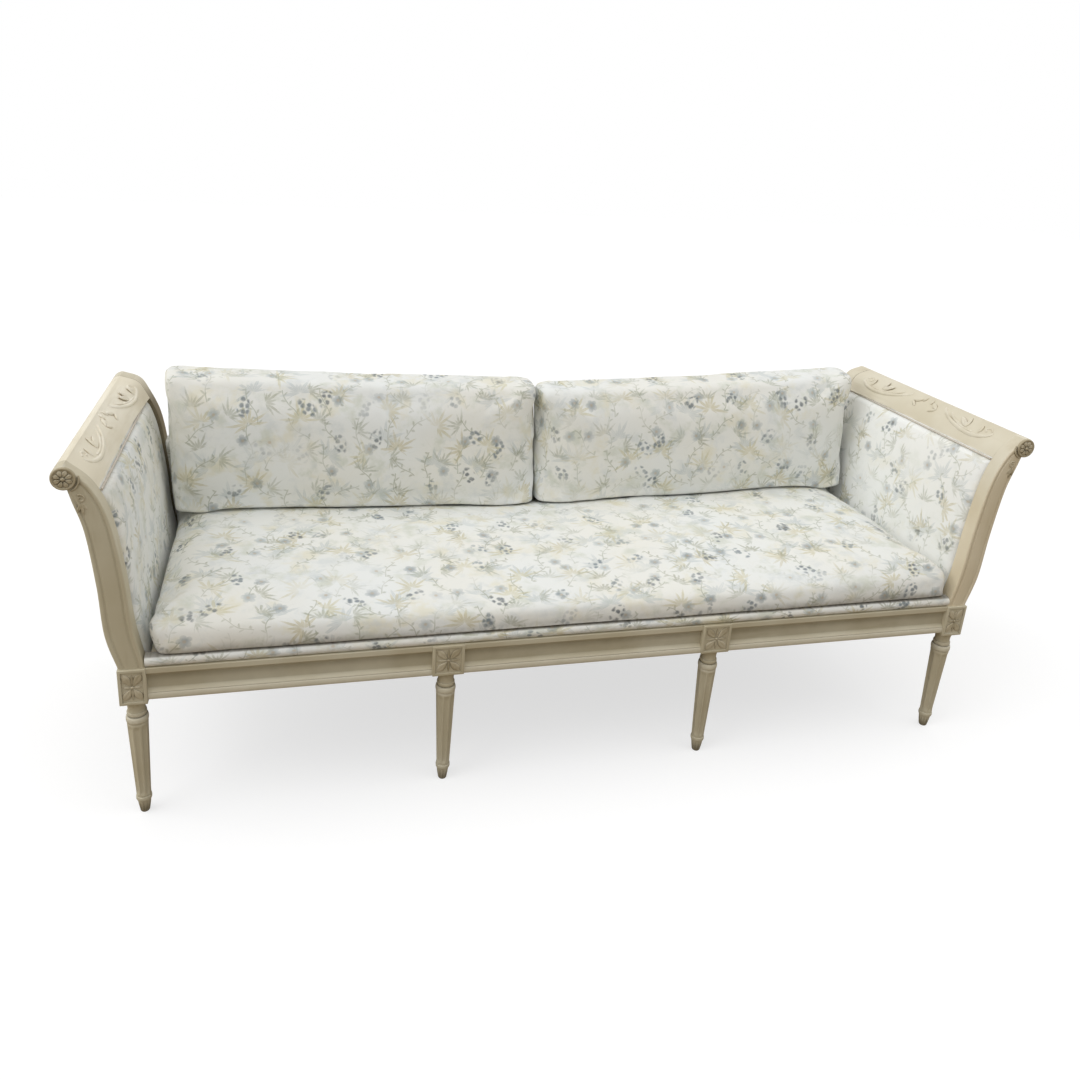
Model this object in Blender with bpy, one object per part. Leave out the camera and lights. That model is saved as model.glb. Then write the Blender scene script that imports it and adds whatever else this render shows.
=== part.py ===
# A neoclassical settee: painted frame with out-scrolled arms and fluted legs, loose seat and back cushions.
# Metres, +Z up, the front faces -Y. The origin lies on the floor under the middle of the settee.

import math

import bmesh
import bpy
from mathutils import Vector

for leftover in list(bpy.data.objects):
    bpy.data.objects.remove(leftover)

# Clearance between pieces that touch
FIT_GAP = 0.0003

# Plan of the frame
FRAME_DEPTH = 0.707
CORNER_LEG_SPACING = 2.000
MID_LEG_SPACING = 0.658

# Leg blocks, at rail height
LEG_HEIGHT = 0.300
RAIL_HEIGHT = 0.077
BLOCK_DEPTH = 0.0566
CORNER_BLOCK_WIDTH = 0.0566
CORNER_BLOCK_DROP = 0.008
MID_BLOCK_WIDTH = 0.0734
BLOCK_CAP_CHAMFER = 0.003
BLOCK_PANEL_MARGIN = 0.007
BLOCK_PANEL_DEPTH = 0.002

# Turned legs
TOE_RADIUS = 0.0090
TOE_SWELL_RADIUS = 0.0142
ANKLE_RING_HEIGHT = 0.038
ANKLE_RING_RADIUS = 0.0167
ANKLE_RING_WIDTH = 0.011
TAPER_FOOT_RADIUS = 0.0154
TAPER_TOP_RADIUS = 0.0219
COLLAR_DROP = 0.0465
COLLAR_RADIUS = 0.0232
COLLAR_WIDTH = 0.015
NECK_BEAD_DROP = 0.0325
NECK_BEAD_RADIUS = 0.0206
NECK_BEAD_WIDTH = 0.009
NECK_RADIUS = 0.0183
NECK_FLARE_RADIUS = 0.0252
NECK_FLARE_HEIGHT = 0.013
FLUTE_COUNT = 8
FLUTE_DEPTH = 0.0022
FLUTE_END_MARGIN = 0.010
PLAIN_LEG_SIDES = 16

# Seat rails
RAIL_THICKNESS = 0.034
RAIL_SETBACK = 0.0035
RAIL_BEAD_HEIGHT = 0.0155
RAIL_SLOPE_HEIGHT = 0.0105
RAIL_BAND_DEPTH = 0.0085
RAIL_COVE_HEIGHT = 0.0125
RAIL_FILLET_HEIGHT = 0.013
SIDE_RAIL_THICKNESS = 0.030
BRACE_THICKNESS = 0.028
BRACE_HEIGHT = 0.045
BRACE_LIFT = 0.012
CORNER_BLOCK_LEG = 0.070
CORNER_BLOCK_HEIGHT = 0.060
CORNER_BLOCK_LIFT = 0.006

# Mortise and tenon joints
TENON_LENGTH = 0.020
TENON_THICKNESS = 0.012
TENON_HEIGHT = 0.030
STILE_TENON_LENGTH = 0.018
STILE_TENON_SIZE = 0.018
CREST_TENON_LENGTH = 0.015
CREST_TENON_SIZE = 0.016

# Arms: height of the scroll's centre and sideways offsets outward from the corner legs' axes
SCROLL_HEIGHT = 0.808
SCROLL_OFFSET = 0.0915
SCROLL_RADIUS = 0.0245
SCROLL_TAIL_ANGLE = -100
STILE_FOOT_INSET = 0.0015
STILE_SETBACK = 0.004
FRONT_STILE_DEPTH = 0.036
REAR_STILE_DEPTH = 0.052
STILE_EDGE_BEVEL = 0.0025
GROOVE_INSET = 0.0118
GROOVE_WIDTH = 0.009
GROOVE_DEPTH = 0.0019
REAR_STILE_EDGE_BEVEL = 0.005
# The S-curve of the arm between its foot and its scroll: offsets, and their shares of the rise
INNER_SHIN_OFFSET = -0.010
INNER_WAIST_OFFSET = -0.001
INNER_BREAST_OFFSET = 0.0165
INNER_NECK_OFFSET = 0.046
OUTER_SHIN_OFFSET = 0.0465
OUTER_WAIST_OFFSET = 0.0525
OUTER_BREAST_OFFSET = 0.0645
OUTER_NECK_OFFSET = 0.0815
REAR_INNER_SHIN_OFFSET = -0.0175
REAR_INNER_WAIST_OFFSET = -0.013
REAR_INNER_BREAST_OFFSET = 0.003
REAR_INNER_NECK_OFFSET = 0.0318
REAR_INNER_SHOULDER_OFFSET = 0.0525
INNER_SHARES = (0.216, 0.494, 0.784, 0.954)
REAR_INNER_SHARES = (0.216, 0.494, 0.784, 0.954, 1.024)
OUTER_SHARES = (0.188, 0.448, 0.726, 0.882)
ARM_CURVE_STEPS = 4

# Arm crest, tack rail and panels
CREST_DROP = 0.036
CREST_FLARE = ((0.0, 0.0), (0.5, 0.0), (0.66, 0.12), (0.78, 0.36), (0.9, 0.76), (1.0, 1.0))
ARM_PAD_LIFT = 0.005
ARM_PAD_PROUD = 0.009
ARM_PAD_BACKING = 0.015
ARM_PAD_EDGE = 0.030
ARM_PAD_TOP_EDGE = 0.012
TACK_RAIL_HEIGHT = 0.050
OUTER_PANEL_INSET = 0.005
OUTER_PANEL_THICKNESS = 0.006

# Low back between the rear stiles
BACK_TOP_HEIGHT = 0.650
BACK_RAIL_HEIGHT = 0.055
BACK_POST_WIDTH = 0.040
BACK_PAD_THICKNESS = 0.034
BACK_PAD_EDGE = 0.012
BACK_PAD_END_GAP = 0.002
BACK_PANEL_THICKNESS = 0.006

# Seat platform
STRAP_WIDTH = 0.050
STRAP_THICKNESS = 0.002
STRAP_LAP = 0.010
CROSS_STRAP_COUNT = 10
CROSS_STRAP_PITCH = 0.180
LONG_STRAP_COUNT = 3
LONG_STRAP_PITCH = 0.155
EDGE_ROLL_DEPTH = 0.024
EDGE_ROLL_HEIGHT = 0.025
EDGE_ROLL_SETBACK = 0.002
DECK_EDGE = 0.008
DUST_COVER_THICKNESS = 0.0015
DUST_COVER_INSET = 0.008
LEG_NOTCH_MARGIN = 0.002

# Loose cushions
SEAT_CUSHION_HEIGHT = 0.098
SEAT_CUSHION_CROWN = 0.008
SEAT_CUSHION_SETBACK = 0.004
SEAT_CUSHION_SIDE_GAP = 0.003
SEAT_CUSHION_REAR_GAP = 0.004
SEAT_CUSHION_PULL = 0.004
BACK_CUSHION_HEIGHT = 0.335
BACK_CUSHION_THICKNESS = 0.118
BACK_CUSHION_CROWN = 0.014
BACK_CUSHION_LEAN = 5.0
BACK_CUSHION_END_GAP = 0.009
BACK_CUSHION_MID_GAP = 0.003
BACK_CUSHION_PULL = 0.003
CUSHION_CORNER_RADIUS = 0.045
CUSHION_EDGE_RADIUS = 0.032
CUSHION_CROWN_REACH = 0.110
CUSHION_SIDE_POINTS = 9

# Places that follow from the sizes above
FRONT = -FRAME_DEPTH / 2
BACK = FRAME_DEPTH / 2
CORNER_X = CORNER_LEG_SPACING / 2
MID_X = MID_LEG_SPACING / 2
RAIL_TOP = LEG_HEIGHT + RAIL_HEIGHT
BLOCK_INNER_X = CORNER_X - CORNER_BLOCK_WIDTH / 2
FRONT_RAIL_INNER = FRONT + RAIL_SETBACK + RAIL_THICKNESS
REAR_RAIL_INNER = BACK - RAIL_SETBACK - RAIL_THICKNESS
FRONT_STILE_FACE = FRONT + STILE_SETBACK
FRONT_STILE_BACK = FRONT_STILE_FACE + FRONT_STILE_DEPTH
REAR_STILE_FACE = BACK - REAR_STILE_DEPTH
STILE_FOOT = RAIL_TOP + FIT_GAP
STRAP_BOTTOM = RAIL_TOP + FIT_GAP
STRAP_TOP = STRAP_BOTTOM + STRAP_THICKNESS
DECK_BOTTOM = STRAP_TOP + STRAP_THICKNESS + 2 * FIT_GAP
DECK_TOP = RAIL_TOP + FIT_GAP + EDGE_ROLL_HEIGHT
ARM_PAD_BOTTOM = RAIL_TOP + ARM_PAD_LIFT
BACK_POST_FACE = REAR_RAIL_INNER + STRAP_LAP + FIT_GAP
BACK_PANEL_FACE = BACK - STILE_EDGE_BEVEL / 5 - BACK_PANEL_THICKNESS
BACK_PAD_FACE = BACK_POST_FACE - FIT_GAP - BACK_PAD_THICKNESS
SIDES = (("left", -1), ("right", 1))

frame_root = bpy.data.objects.new("settee_frame", None)
bpy.context.scene.collection.objects.link(frame_root)


# Finishes
def finish(name, colour, roughness):
    material = bpy.data.materials.new(name)
    material.use_nodes = True
    shader = material.node_tree.nodes["Principled BSDF"]
    shader.inputs["Base Color"].default_value = (*colour, 1.0)
    shader.inputs["Roughness"].default_value = roughness
    shader.inputs["Metallic"].default_value = 0.0
    material.diffuse_color = (*colour, 1.0)
    return material


PAINTED_WOOD = finish("painted_wood", (0.53, 0.46, 0.33), 0.55)
FRAME_WOOD = finish("frame_wood", (0.47, 0.32, 0.18), 0.70)
PRINTED_FABRIC = finish("printed_fabric", (0.72, 0.72, 0.68), 0.90)
JUTE_WEBBING = finish("jute_webbing", (0.42, 0.31, 0.17), 0.95)
DECK_CLOTH = finish("deck_cloth", (0.66, 0.62, 0.53), 0.92)
DUST_CLOTH = finish("dust_cloth", (0.03, 0.03, 0.03), 0.95)


# Mesh helpers
def make_object(name, mesh_data, material, parent=frame_root):
    bmesh.ops.recalc_face_normals(mesh_data, faces=mesh_data.faces)
    mesh = bpy.data.meshes.new(name)
    mesh_data.to_mesh(mesh)
    mesh_data.free()
    mesh.shade_smooth()
    mesh.set_sharp_from_angle(angle=math.radians(35))
    mesh.materials.append(material)
    piece = bpy.data.objects.new(name, mesh)
    bpy.context.scene.collection.objects.link(piece)
    piece.parent = parent
    return piece


def loft(rings):
    shell = bmesh.new()
    loops = [[shell.verts.new(point) for point in ring] for ring in rings]
    count = len(loops[0])
    for lower, upper in zip(loops, loops[1:]):
        for i in range(count):
            j = (i + 1) % count
            shell.faces.new((lower[i], lower[j], upper[j], upper[i]))
    shell.faces.new(loops[0])
    shell.faces.new(loops[-1])
    return shell


def prism_along_y(outline, start, end):
    return loft([[(x, y, z) for x, z in outline] for y in (start, end)])


def prism_along_x(outline, start, end):
    return loft([[(x, y, z) for y, z in outline] for x in (start, end)])


def prism_along_z(outline, start, end):
    return loft([[(x, y, z) for x, y in outline] for z in (start, end)])


def add_box(shell, low, high):
    plan = ((low[0], low[1]), (high[0], low[1]), (high[0], high[1]), (low[0], high[1]))
    bottom, top = [[shell.verts.new((x, y, z)) for x, y in plan] for z in (low[2], high[2])]
    shell.faces.new(bottom[::-1])
    shell.faces.new(top)
    for i in range(4):
        j = (i + 1) % 4
        shell.faces.new((bottom[i], bottom[j], top[j], top[i]))


def boxes_mesh(boxes):
    shell = bmesh.new()
    for low, high in boxes:
        add_box(shell, low, high)
    return shell


def grown(box, margin):
    low, high = box
    return [v - margin for v in low], [v + margin for v in high]


def combine(piece, tool_mesh, operation):
    tool = make_object(f"{piece.name}_{operation.lower()}", tool_mesh, piece.data.materials[0])
    tool.hide_render = True
    tool.display_type = "WIRE"
    change = piece.modifiers.new(operation.lower(), "BOOLEAN")
    change.operation = operation
    change.solver = "EXACT"
    change.object = tool


def smooth_curve(points, steps):
    # Catmull-Rom curve through the points, with its ends extended by reflection
    first = tuple(2 * a - b for a, b in zip(points[0], points[1]))
    last = tuple(2 * a - b for a, b in zip(points[-1], points[-2]))
    padded = [first, *points, last]
    curve = []
    for p0, p1, p2, p3 in zip(padded, padded[1:], padded[2:], padded[3:]):
        for step in range(steps):
            t = step / steps
            curve.append(tuple(
                b + (c - a) * t / 2 + (a - 2.5 * b + 2 * c - d / 2) * t**2 + (1.5 * (b - c) + (d - a) / 2) * t**3
                for a, b, c, d in zip(p0, p1, p2, p3)
            ))
    curve.append(tuple(points[-1]))
    return curve


def arc(centre, radius, start_degrees, end_degrees, steps):
    angles = [math.radians(start_degrees + (end_degrees - start_degrees) * i / steps) for i in range(steps + 1)]
    return [(centre[0] + radius * math.cos(a), centre[1] + radius * math.sin(a)) for a in angles]


def along(curve, height):
    # Offset of a rising curve of (offset, height) points at one height
    for (x0, z0), (x1, z1) in zip(curve, curve[1:]):
        if z0 <= height <= z1:
            return x0 + (x1 - x0) * (height - z0) / (z1 - z0)
    return curve[0][0] if height < curve[0][1] else curve[-1][0]


# Joints: each tenon is added to its rail and its mortise is kept for the piece that receives it
mortises = {}


def tenon(axis, shoulder, centre, size, length):
    # A box through the shoulder plane, as long inside the rail as it stands out of it
    low = [c - s / 2 for c, s in zip(centre, size)]
    high = [c + s / 2 for c, s in zip(centre, size)]
    low[axis] = shoulder - length
    high[axis] = shoulder + length
    return low, high


def join(piece, tenons):
    combine(piece, boxes_mesh([box for box, _ in tenons]), "UNION")
    for box, host in tenons:
        mortises.setdefault(host, []).append(grown(box, FIT_GAP))


def cut_mortises(piece):
    if piece.name in mortises:
        combine(piece, boxes_mesh(mortises[piece.name]), "DIFFERENCE")


# Legs: turned shaft and square block in one piece, front ones fluted
def leg_profile(top):
    # Height, radius and whether the flutes are cut there, up to the underside of the block
    ring_low = ANKLE_RING_HEIGHT - ANKLE_RING_WIDTH / 2
    ring_high = ANKLE_RING_HEIGHT + ANKLE_RING_WIDTH / 2
    collar = top - COLLAR_DROP
    collar_low = collar - COLLAR_WIDTH / 2
    collar_high = collar + COLLAR_WIDTH / 2
    bead = top - NECK_BEAD_DROP
    flare = top - NECK_FLARE_HEIGHT
    return [
        (0.0, TOE_RADIUS, 0),
        (0.12 * ring_low, 0.72 * TOE_SWELL_RADIUS, 0),
        (0.40 * ring_low, 0.84 * TOE_SWELL_RADIUS, 0),
        (0.80 * ring_low, 0.97 * TOE_SWELL_RADIUS, 0),
        (ring_low, TOE_SWELL_RADIUS, 0),
        (ANKLE_RING_HEIGHT - ANKLE_RING_WIDTH / 4, ANKLE_RING_RADIUS, 0),
        (ANKLE_RING_HEIGHT + ANKLE_RING_WIDTH / 4, ANKLE_RING_RADIUS, 0),
        (ring_high, TAPER_FOOT_RADIUS, 0),
        (ring_high + FLUTE_END_MARGIN / 2, TAPER_FOOT_RADIUS, 0),
        (ring_high + FLUTE_END_MARGIN, 1.01 * TAPER_FOOT_RADIUS, 1),
        (collar_low - FLUTE_END_MARGIN, 0.99 * TAPER_TOP_RADIUS, 1),
        (collar_low - FLUTE_END_MARGIN / 2, TAPER_TOP_RADIUS, 0),
        (collar_low, TAPER_TOP_RADIUS, 0),
        (collar - COLLAR_WIDTH / 4, COLLAR_RADIUS, 0),
        (collar + COLLAR_WIDTH / 4, COLLAR_RADIUS, 0),
        (collar_high, 1.05 * NECK_RADIUS, 0),
        (bead - NECK_BEAD_WIDTH / 4, NECK_BEAD_RADIUS, 0),
        (bead + NECK_BEAD_WIDTH / 4, NECK_BEAD_RADIUS, 0),
        (bead + NECK_BEAD_WIDTH / 2, NECK_RADIUS, 0),
        (flare, 1.03 * NECK_RADIUS, 0),
        (top - NECK_FLARE_HEIGHT / 3, (NECK_RADIUS + NECK_FLARE_RADIUS) / 2, 0),
        (top, NECK_FLARE_RADIUS, 0),
    ]


def square_ring(half_x, half_y, height, count):
    # Points spread round a rectangle, starting where a circle's first point lies
    ring = []
    for i in range(count):
        turn = 2 * math.pi * (i + 0.5) / count
        reach = 1 / max(abs(math.cos(turn)), abs(math.sin(turn)))
        ring.append((half_x * reach * math.cos(turn), half_y * reach * math.sin(turn), height))
    return ring


def corner_matched(ring, half_x, half_y):
    # The point nearest each corner of the rectangle moves onto it
    for sx in (-1, 1):
        for sy in (-1, 1):
            corner = Vector((sx * half_x, sy * half_y))
            near = min(range(len(ring)), key=lambda i: (Vector(ring[i][:2]) - corner).length)
            ring[near] = (corner.x, corner.y, ring[near][2])
    return ring


def leg(name, x, y, block_width, block_bottom, fluted, panel_normals):
    count = 3 * FLUTE_COUNT if fluted else PLAIN_LEG_SIDES
    rings = []
    for height, radius, in_flute in leg_profile(block_bottom):
        ring = []
        for i in range(count):
            turn = 2 * math.pi * (i + 0.5) / count
            hollow = FLUTE_DEPTH if fluted and in_flute and i % 3 == 1 else 0.0
            ring.append(((radius - hollow) * math.cos(turn), (radius - hollow) * math.sin(turn), height))
        rings.append(ring)
    half_x, half_y = block_width / 2, BLOCK_DEPTH / 2
    cap_x, cap_y = half_x - BLOCK_CAP_CHAMFER, half_y - BLOCK_CAP_CHAMFER
    for hx, hy, height in (
        (half_x, half_y, block_bottom),
        (half_x, half_y, RAIL_TOP - BLOCK_CAP_CHAMFER),
        (cap_x, cap_y, RAIL_TOP),
    ):
        rings.append(corner_matched(square_ring(hx, hy, height, count), hx, hy))
    shell = loft([[(x + px, y + py, pz) for px, py, pz in ring] for ring in rings])
    piece = make_object(name, shell, PAINTED_WOOD)
    panels = []
    for nx, ny in panel_normals:
        middle = (block_bottom + RAIL_TOP) / 2
        half = (RAIL_TOP - block_bottom) / 2 - BLOCK_PANEL_MARGIN
        wide = (half_y if nx else half_x) - BLOCK_PANEL_MARGIN
        face = Vector((x + nx * half_x, y + ny * half_y, middle))
        reach = Vector((BLOCK_PANEL_DEPTH if nx else wide, BLOCK_PANEL_DEPTH if ny else wide, half))
        panels.append((face - reach, face + reach))
    if panels:
        combine(piece, boxes_mesh(panels), "DIFFERENCE")
    return piece


legs = []
for side, sign in SIDES:
    front_y, rear_y = FRONT + BLOCK_DEPTH / 2, BACK - BLOCK_DEPTH / 2
    corner_x, mid_x = sign * CORNER_X, sign * MID_X
    corner, middle = (CORNER_BLOCK_WIDTH, LEG_HEIGHT - CORNER_BLOCK_DROP), (MID_BLOCK_WIDTH, LEG_HEIGHT)
    legs.append(leg(f"front_leg_{side}", corner_x, front_y, *corner, True, [(0, -1), (sign, 0)]))
    legs.append(leg(f"front_leg_mid_{side}", mid_x, front_y, *middle, True, [(0, -1)]))
    legs.append(leg(f"rear_leg_{side}", corner_x, rear_y, *corner, False, []))
    legs.append(leg(f"rear_leg_mid_{side}", mid_x, rear_y, *middle, False, []))


# Seat rails, moulded at the front and plain elsewhere
def front_rail_outline():
    cove_start = RAIL_HEIGHT - RAIL_FILLET_HEIGHT - RAIL_COVE_HEIGHT
    front = [
        (RAIL_BEAD_HEIGHT / 10, 0.0),
        (0.0, RAIL_BEAD_HEIGHT / 5),
        (0.0, 0.8 * RAIL_BEAD_HEIGHT),
        (RAIL_BEAD_HEIGHT / 12, RAIL_BEAD_HEIGHT),
        (RAIL_BAND_DEPTH, RAIL_BEAD_HEIGHT + RAIL_SLOPE_HEIGHT),
    ]
    for step in range(6):
        turn = math.pi / 2 * step / 5
        front.append((RAIL_BAND_DEPTH * math.cos(turn), cove_start + RAIL_COVE_HEIGHT * math.sin(turn)))
    front.append((0.0, RAIL_HEIGHT))
    outline = front + [(RAIL_THICKNESS, RAIL_HEIGHT), (RAIL_THICKNESS, 0.0)]
    return [(FRONT + RAIL_SETBACK + depth, LEG_HEIGHT + height) for depth, height in outline]


def rear_rail_outline():
    inner, outer = REAR_RAIL_INNER, BACK - RAIL_SETBACK
    return [(inner, LEG_HEIGHT), (outer, LEG_HEIGHT), (outer, RAIL_TOP), (inner, RAIL_TOP)]


rail_middle = (LEG_HEIGHT + RAIL_TOP) / 2
mid_half = MID_BLOCK_WIDTH / 2
rail_spans = (
    ("left", -BLOCK_INNER_X, -MID_X - mid_half, "left", "mid_left"),
    ("mid", -MID_X + mid_half, MID_X - mid_half, "mid_left", "mid_right"),
    ("right", MID_X + mid_half, BLOCK_INNER_X, "mid_right", "right"),
)
for row, outline, rail_y in (
    ("front", front_rail_outline(), FRONT_RAIL_INNER - RAIL_THICKNESS / 2),
    ("rear", rear_rail_outline(), REAR_RAIL_INNER + RAIL_THICKNESS / 2),
):
    for place, start, end, first_leg, last_leg in rail_spans:
        rail = make_object(
            f"{row}_rail_{place}",
            prism_along_x(outline, start + FIT_GAP, end - FIT_GAP),
            PAINTED_WOOD,
        )
        size = (0.0, TENON_THICKNESS, TENON_HEIGHT)
        join(rail, [
            (tenon(0, shoulder, (0.0, rail_y, rail_middle), size, TENON_LENGTH), f"{row}_leg_{host}")
            for shoulder, host in ((start, first_leg), (end, last_leg))
        ])

block_front_inner, block_rear_inner = FRONT + BLOCK_DEPTH, BACK - BLOCK_DEPTH


def fore_and_aft_rail(name, x, thickness, low, high, hosts, material):
    half = thickness / 2
    rail = make_object(name, boxes_mesh([(
        (x - half, block_front_inner + FIT_GAP, low),
        (x + half, block_rear_inner - FIT_GAP, high),
    )]), material)
    centre = (x, 0.0, (low + high) / 2)
    size = (TENON_THICKNESS, 0.0, TENON_HEIGHT)
    join(rail, [
        (tenon(1, shoulder, centre, size, TENON_LENGTH), host)
        for shoulder, host in zip((block_front_inner, block_rear_inner), hosts)
    ])


for side, sign in SIDES:
    fore_and_aft_rail(
        f"side_rail_{side}", sign * CORNER_X, SIDE_RAIL_THICKNESS, LEG_HEIGHT, RAIL_TOP,
        (f"front_leg_{side}", f"rear_leg_{side}"), PAINTED_WOOD,
    )
    brace_bottom = LEG_HEIGHT + BRACE_LIFT
    fore_and_aft_rail(
        f"seat_brace_{side}", sign * MID_X, BRACE_THICKNESS, brace_bottom, brace_bottom + BRACE_HEIGHT,
        (f"front_leg_mid_{side}", f"rear_leg_mid_{side}"), FRAME_WOOD,
    )
    # Glue blocks that brace each corner behind its leg
    rail_face = CORNER_X - SIDE_RAIL_THICKNESS / 2 - FIT_GAP
    for row, rail_inner, block_inner, inward in (
        ("front", FRONT_RAIL_INNER, block_front_inner, 1),
        ("rear", REAR_RAIL_INNER, block_rear_inner, -1),
    ):
        near_rail = rail_inner + inward * FIT_GAP
        near_block = block_inner + inward * FIT_GAP
        beside_block = BLOCK_INNER_X - FIT_GAP
        plan = [
            (beside_block - CORNER_BLOCK_LEG, near_rail),
            (beside_block, near_rail),
            (beside_block, near_block),
            (rail_face, near_block),
            (rail_face, near_block + inward * CORNER_BLOCK_LEG),
        ]
        bottom = LEG_HEIGHT + CORNER_BLOCK_LIFT
        make_object(
            f"corner_block_{row}_{side}",
            prism_along_z([(sign * px, py) for px, py in plan], bottom, bottom + CORNER_BLOCK_HEIGHT),
            FRAME_WOOD,
        )


# Arms
arm_rise = SCROLL_HEIGHT - RAIL_TOP
foot_half = CORNER_BLOCK_WIDTH / 2 - STILE_FOOT_INSET
scroll_centre = (SCROLL_OFFSET, SCROLL_HEIGHT)
tail = math.radians(SCROLL_TAIL_ANGLE)
scroll_tail = (SCROLL_OFFSET + SCROLL_RADIUS * math.cos(tail), SCROLL_HEIGHT + SCROLL_RADIUS * math.sin(tail))
inner_offsets = (INNER_SHIN_OFFSET, INNER_WAIST_OFFSET, INNER_BREAST_OFFSET, INNER_NECK_OFFSET)
outer_offsets = (OUTER_SHIN_OFFSET, OUTER_WAIST_OFFSET, OUTER_BREAST_OFFSET, OUTER_NECK_OFFSET)
rear_inner_offsets = (
    REAR_INNER_SHIN_OFFSET, REAR_INNER_WAIST_OFFSET, REAR_INNER_BREAST_OFFSET,
    REAR_INNER_NECK_OFFSET, REAR_INNER_SHOULDER_OFFSET,
)


def arm_edge(foot, offsets, shares, end):
    between = [(offset, RAIL_TOP + share * arm_rise) for offset, share in zip(offsets, shares)]
    return smooth_curve([(foot, STILE_FOOT), *between, end], ARM_CURVE_STEPS)


scroll_top = (SCROLL_OFFSET, SCROLL_HEIGHT + SCROLL_RADIUS)
inner_edge = arm_edge(-foot_half, inner_offsets, INNER_SHARES, scroll_top)
rear_inner_edge = arm_edge(-foot_half, rear_inner_offsets, REAR_INNER_SHARES, scroll_top)
outer_edge = arm_edge(foot_half, outer_offsets, OUTER_SHARES, scroll_tail)
scroll_arc = arc(scroll_centre, SCROLL_RADIUS, 90, SCROLL_TAIL_ANGLE, 12)
front_stile_outline = inner_edge + scroll_arc[1:-1] + outer_edge[::-1]
rear_stile_outline = rear_inner_edge + scroll_arc[1:-1] + outer_edge[::-1]


def placed(outline, sign):
    return [(sign * (CORNER_X + offset), height) for offset, height in outline]


def groove_along(edge, toward, sign, face):
    # A shallow valley that follows one edge of the stile from its foot to its scroll
    rings = []
    for before, here, after in zip(edge, edge[1:], edge[2:]):
        run = Vector((after[0] - before[0], after[1] - before[1])).normalized()
        across = Vector((run.y, -run.x)) * toward
        if here[1] > SCROLL_HEIGHT - SCROLL_RADIUS - GROOVE_INSET:
            break
        middle = Vector(here) + across * GROOVE_INSET
        outside, inside = face - GROOVE_DEPTH, face + GROOVE_DEPTH
        section = ((-5 / 6, outside), (5 / 6, outside), (1 / 6, inside), (-1 / 6, inside))
        spots = [(middle + across * (share * GROOVE_WIDTH), y) for share, y in section]
        rings.append([(sign * (CORNER_X + point.x), y, point.y) for point, y in spots])
    return loft(rings)


def stile(name, sign, outline, face, back, moulded):
    shell = prism_along_y(placed(outline, sign), face, back)
    shown, bevel = (face, STILE_EDGE_BEVEL) if moulded else (back, REAR_STILE_EDGE_BEVEL)
    rim = [e for e in shell.edges if all(abs(v.co.y - shown) < FIT_GAP for v in e.verts)]
    bmesh.ops.bevel(shell, geom=rim, offset=bevel, segments=2, profile=0.5, affect="EDGES")
    piece = make_object(name, shell, PAINTED_WOOD)
    foot_tenon = tenon(
        2, RAIL_TOP, (sign * CORNER_X, (face + back) / 2, 0.0),
        (STILE_TENON_SIZE, STILE_TENON_SIZE, 0.0), STILE_TENON_LENGTH,
    )
    row = "front" if moulded else "rear"
    join(piece, [(foot_tenon, f"{row}_leg_{'left' if sign < 0 else 'right'}")])
    if moulded:
        combine(piece, groove_along(inner_edge, 1, sign, face), "DIFFERENCE")
        combine(piece, groove_along(outer_edge, -1, sign, face), "DIFFERENCE")
        boss = arc(scroll_centre, SCROLL_RADIUS - STILE_EDGE_BEVEL / 2, 0, 345, 23)
        boss_back = face + STILE_EDGE_BEVEL + STILE_SETBACK
        combine(piece, prism_along_y(placed(boss, sign), FRONT, boss_back), "UNION")
    return piece


# The crest is a curved board, flush with the stiles, that rolls over into the scroll.
# Toward the rear its inner face swells out to the fuller outline of the rear stile.
crest_bottom = SCROLL_HEIGHT - CREST_DROP
crest_face = [(along(inner_edge, crest_bottom), crest_bottom)]
crest_face += [point for point in inner_edge if point[1] > crest_bottom + FIT_GAP]
crest_roll = arc(scroll_centre, SCROLL_RADIUS, 90, SCROLL_TAIL_ANGLE, 12)[1:]
crest_outline = crest_face + crest_roll
crest_start, crest_end = FRONT_STILE_BACK + FIT_GAP, REAR_STILE_FACE - FIT_GAP


def crest_ring(sign, share, flare):
    y = crest_start + (crest_end - crest_start) * share
    face = [
        (offset + (along(rear_inner_edge, height) - offset) * flare, height) for offset, height in crest_face
    ]
    return [(x, y, z) for x, z in placed(face + crest_roll, sign)]


def crest_underside(offset):
    low, high = crest_outline[0], crest_outline[-1]
    return low[1] + (high[1] - low[1]) * (offset - low[0]) / (high[0] - low[0])


def arm_pad(sign):
    # Padded inside panel: proud of the stiles, rolled off where it meets them and the crest
    top = crest_bottom - FIT_GAP
    edge = ARM_PAD_EDGE
    profile = (
        (crest_start, 0.0), (crest_start + edge / 4, 0.66), (crest_start + edge, 1.0),
        (crest_end - edge, 1.0), (crest_end - edge / 4, 0.66), (crest_end, 0.0),
    )
    rings = []
    stations = 11
    full_top = top - ARM_PAD_TOP_EDGE
    heights = [ARM_PAD_BOTTOM + (full_top - ARM_PAD_BOTTOM) * i / stations for i in range(stations + 1)]
    levels = [(height, 1.0) for height in heights] + [(top - ARM_PAD_TOP_EDGE / 4, 0.75), (top, 0.3)]
    for height, fullness in levels:
        offset = along(inner_edge, height)
        ring = [(offset - ARM_PAD_PROUD * proud * fullness, y) for y, proud in profile]
        ring += [(offset + ARM_PAD_BACKING, crest_end), (offset + ARM_PAD_BACKING, crest_start)]
        rings.append([(sign * (CORNER_X + px), py, height) for px, py in ring])
    return loft(rings)


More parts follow.
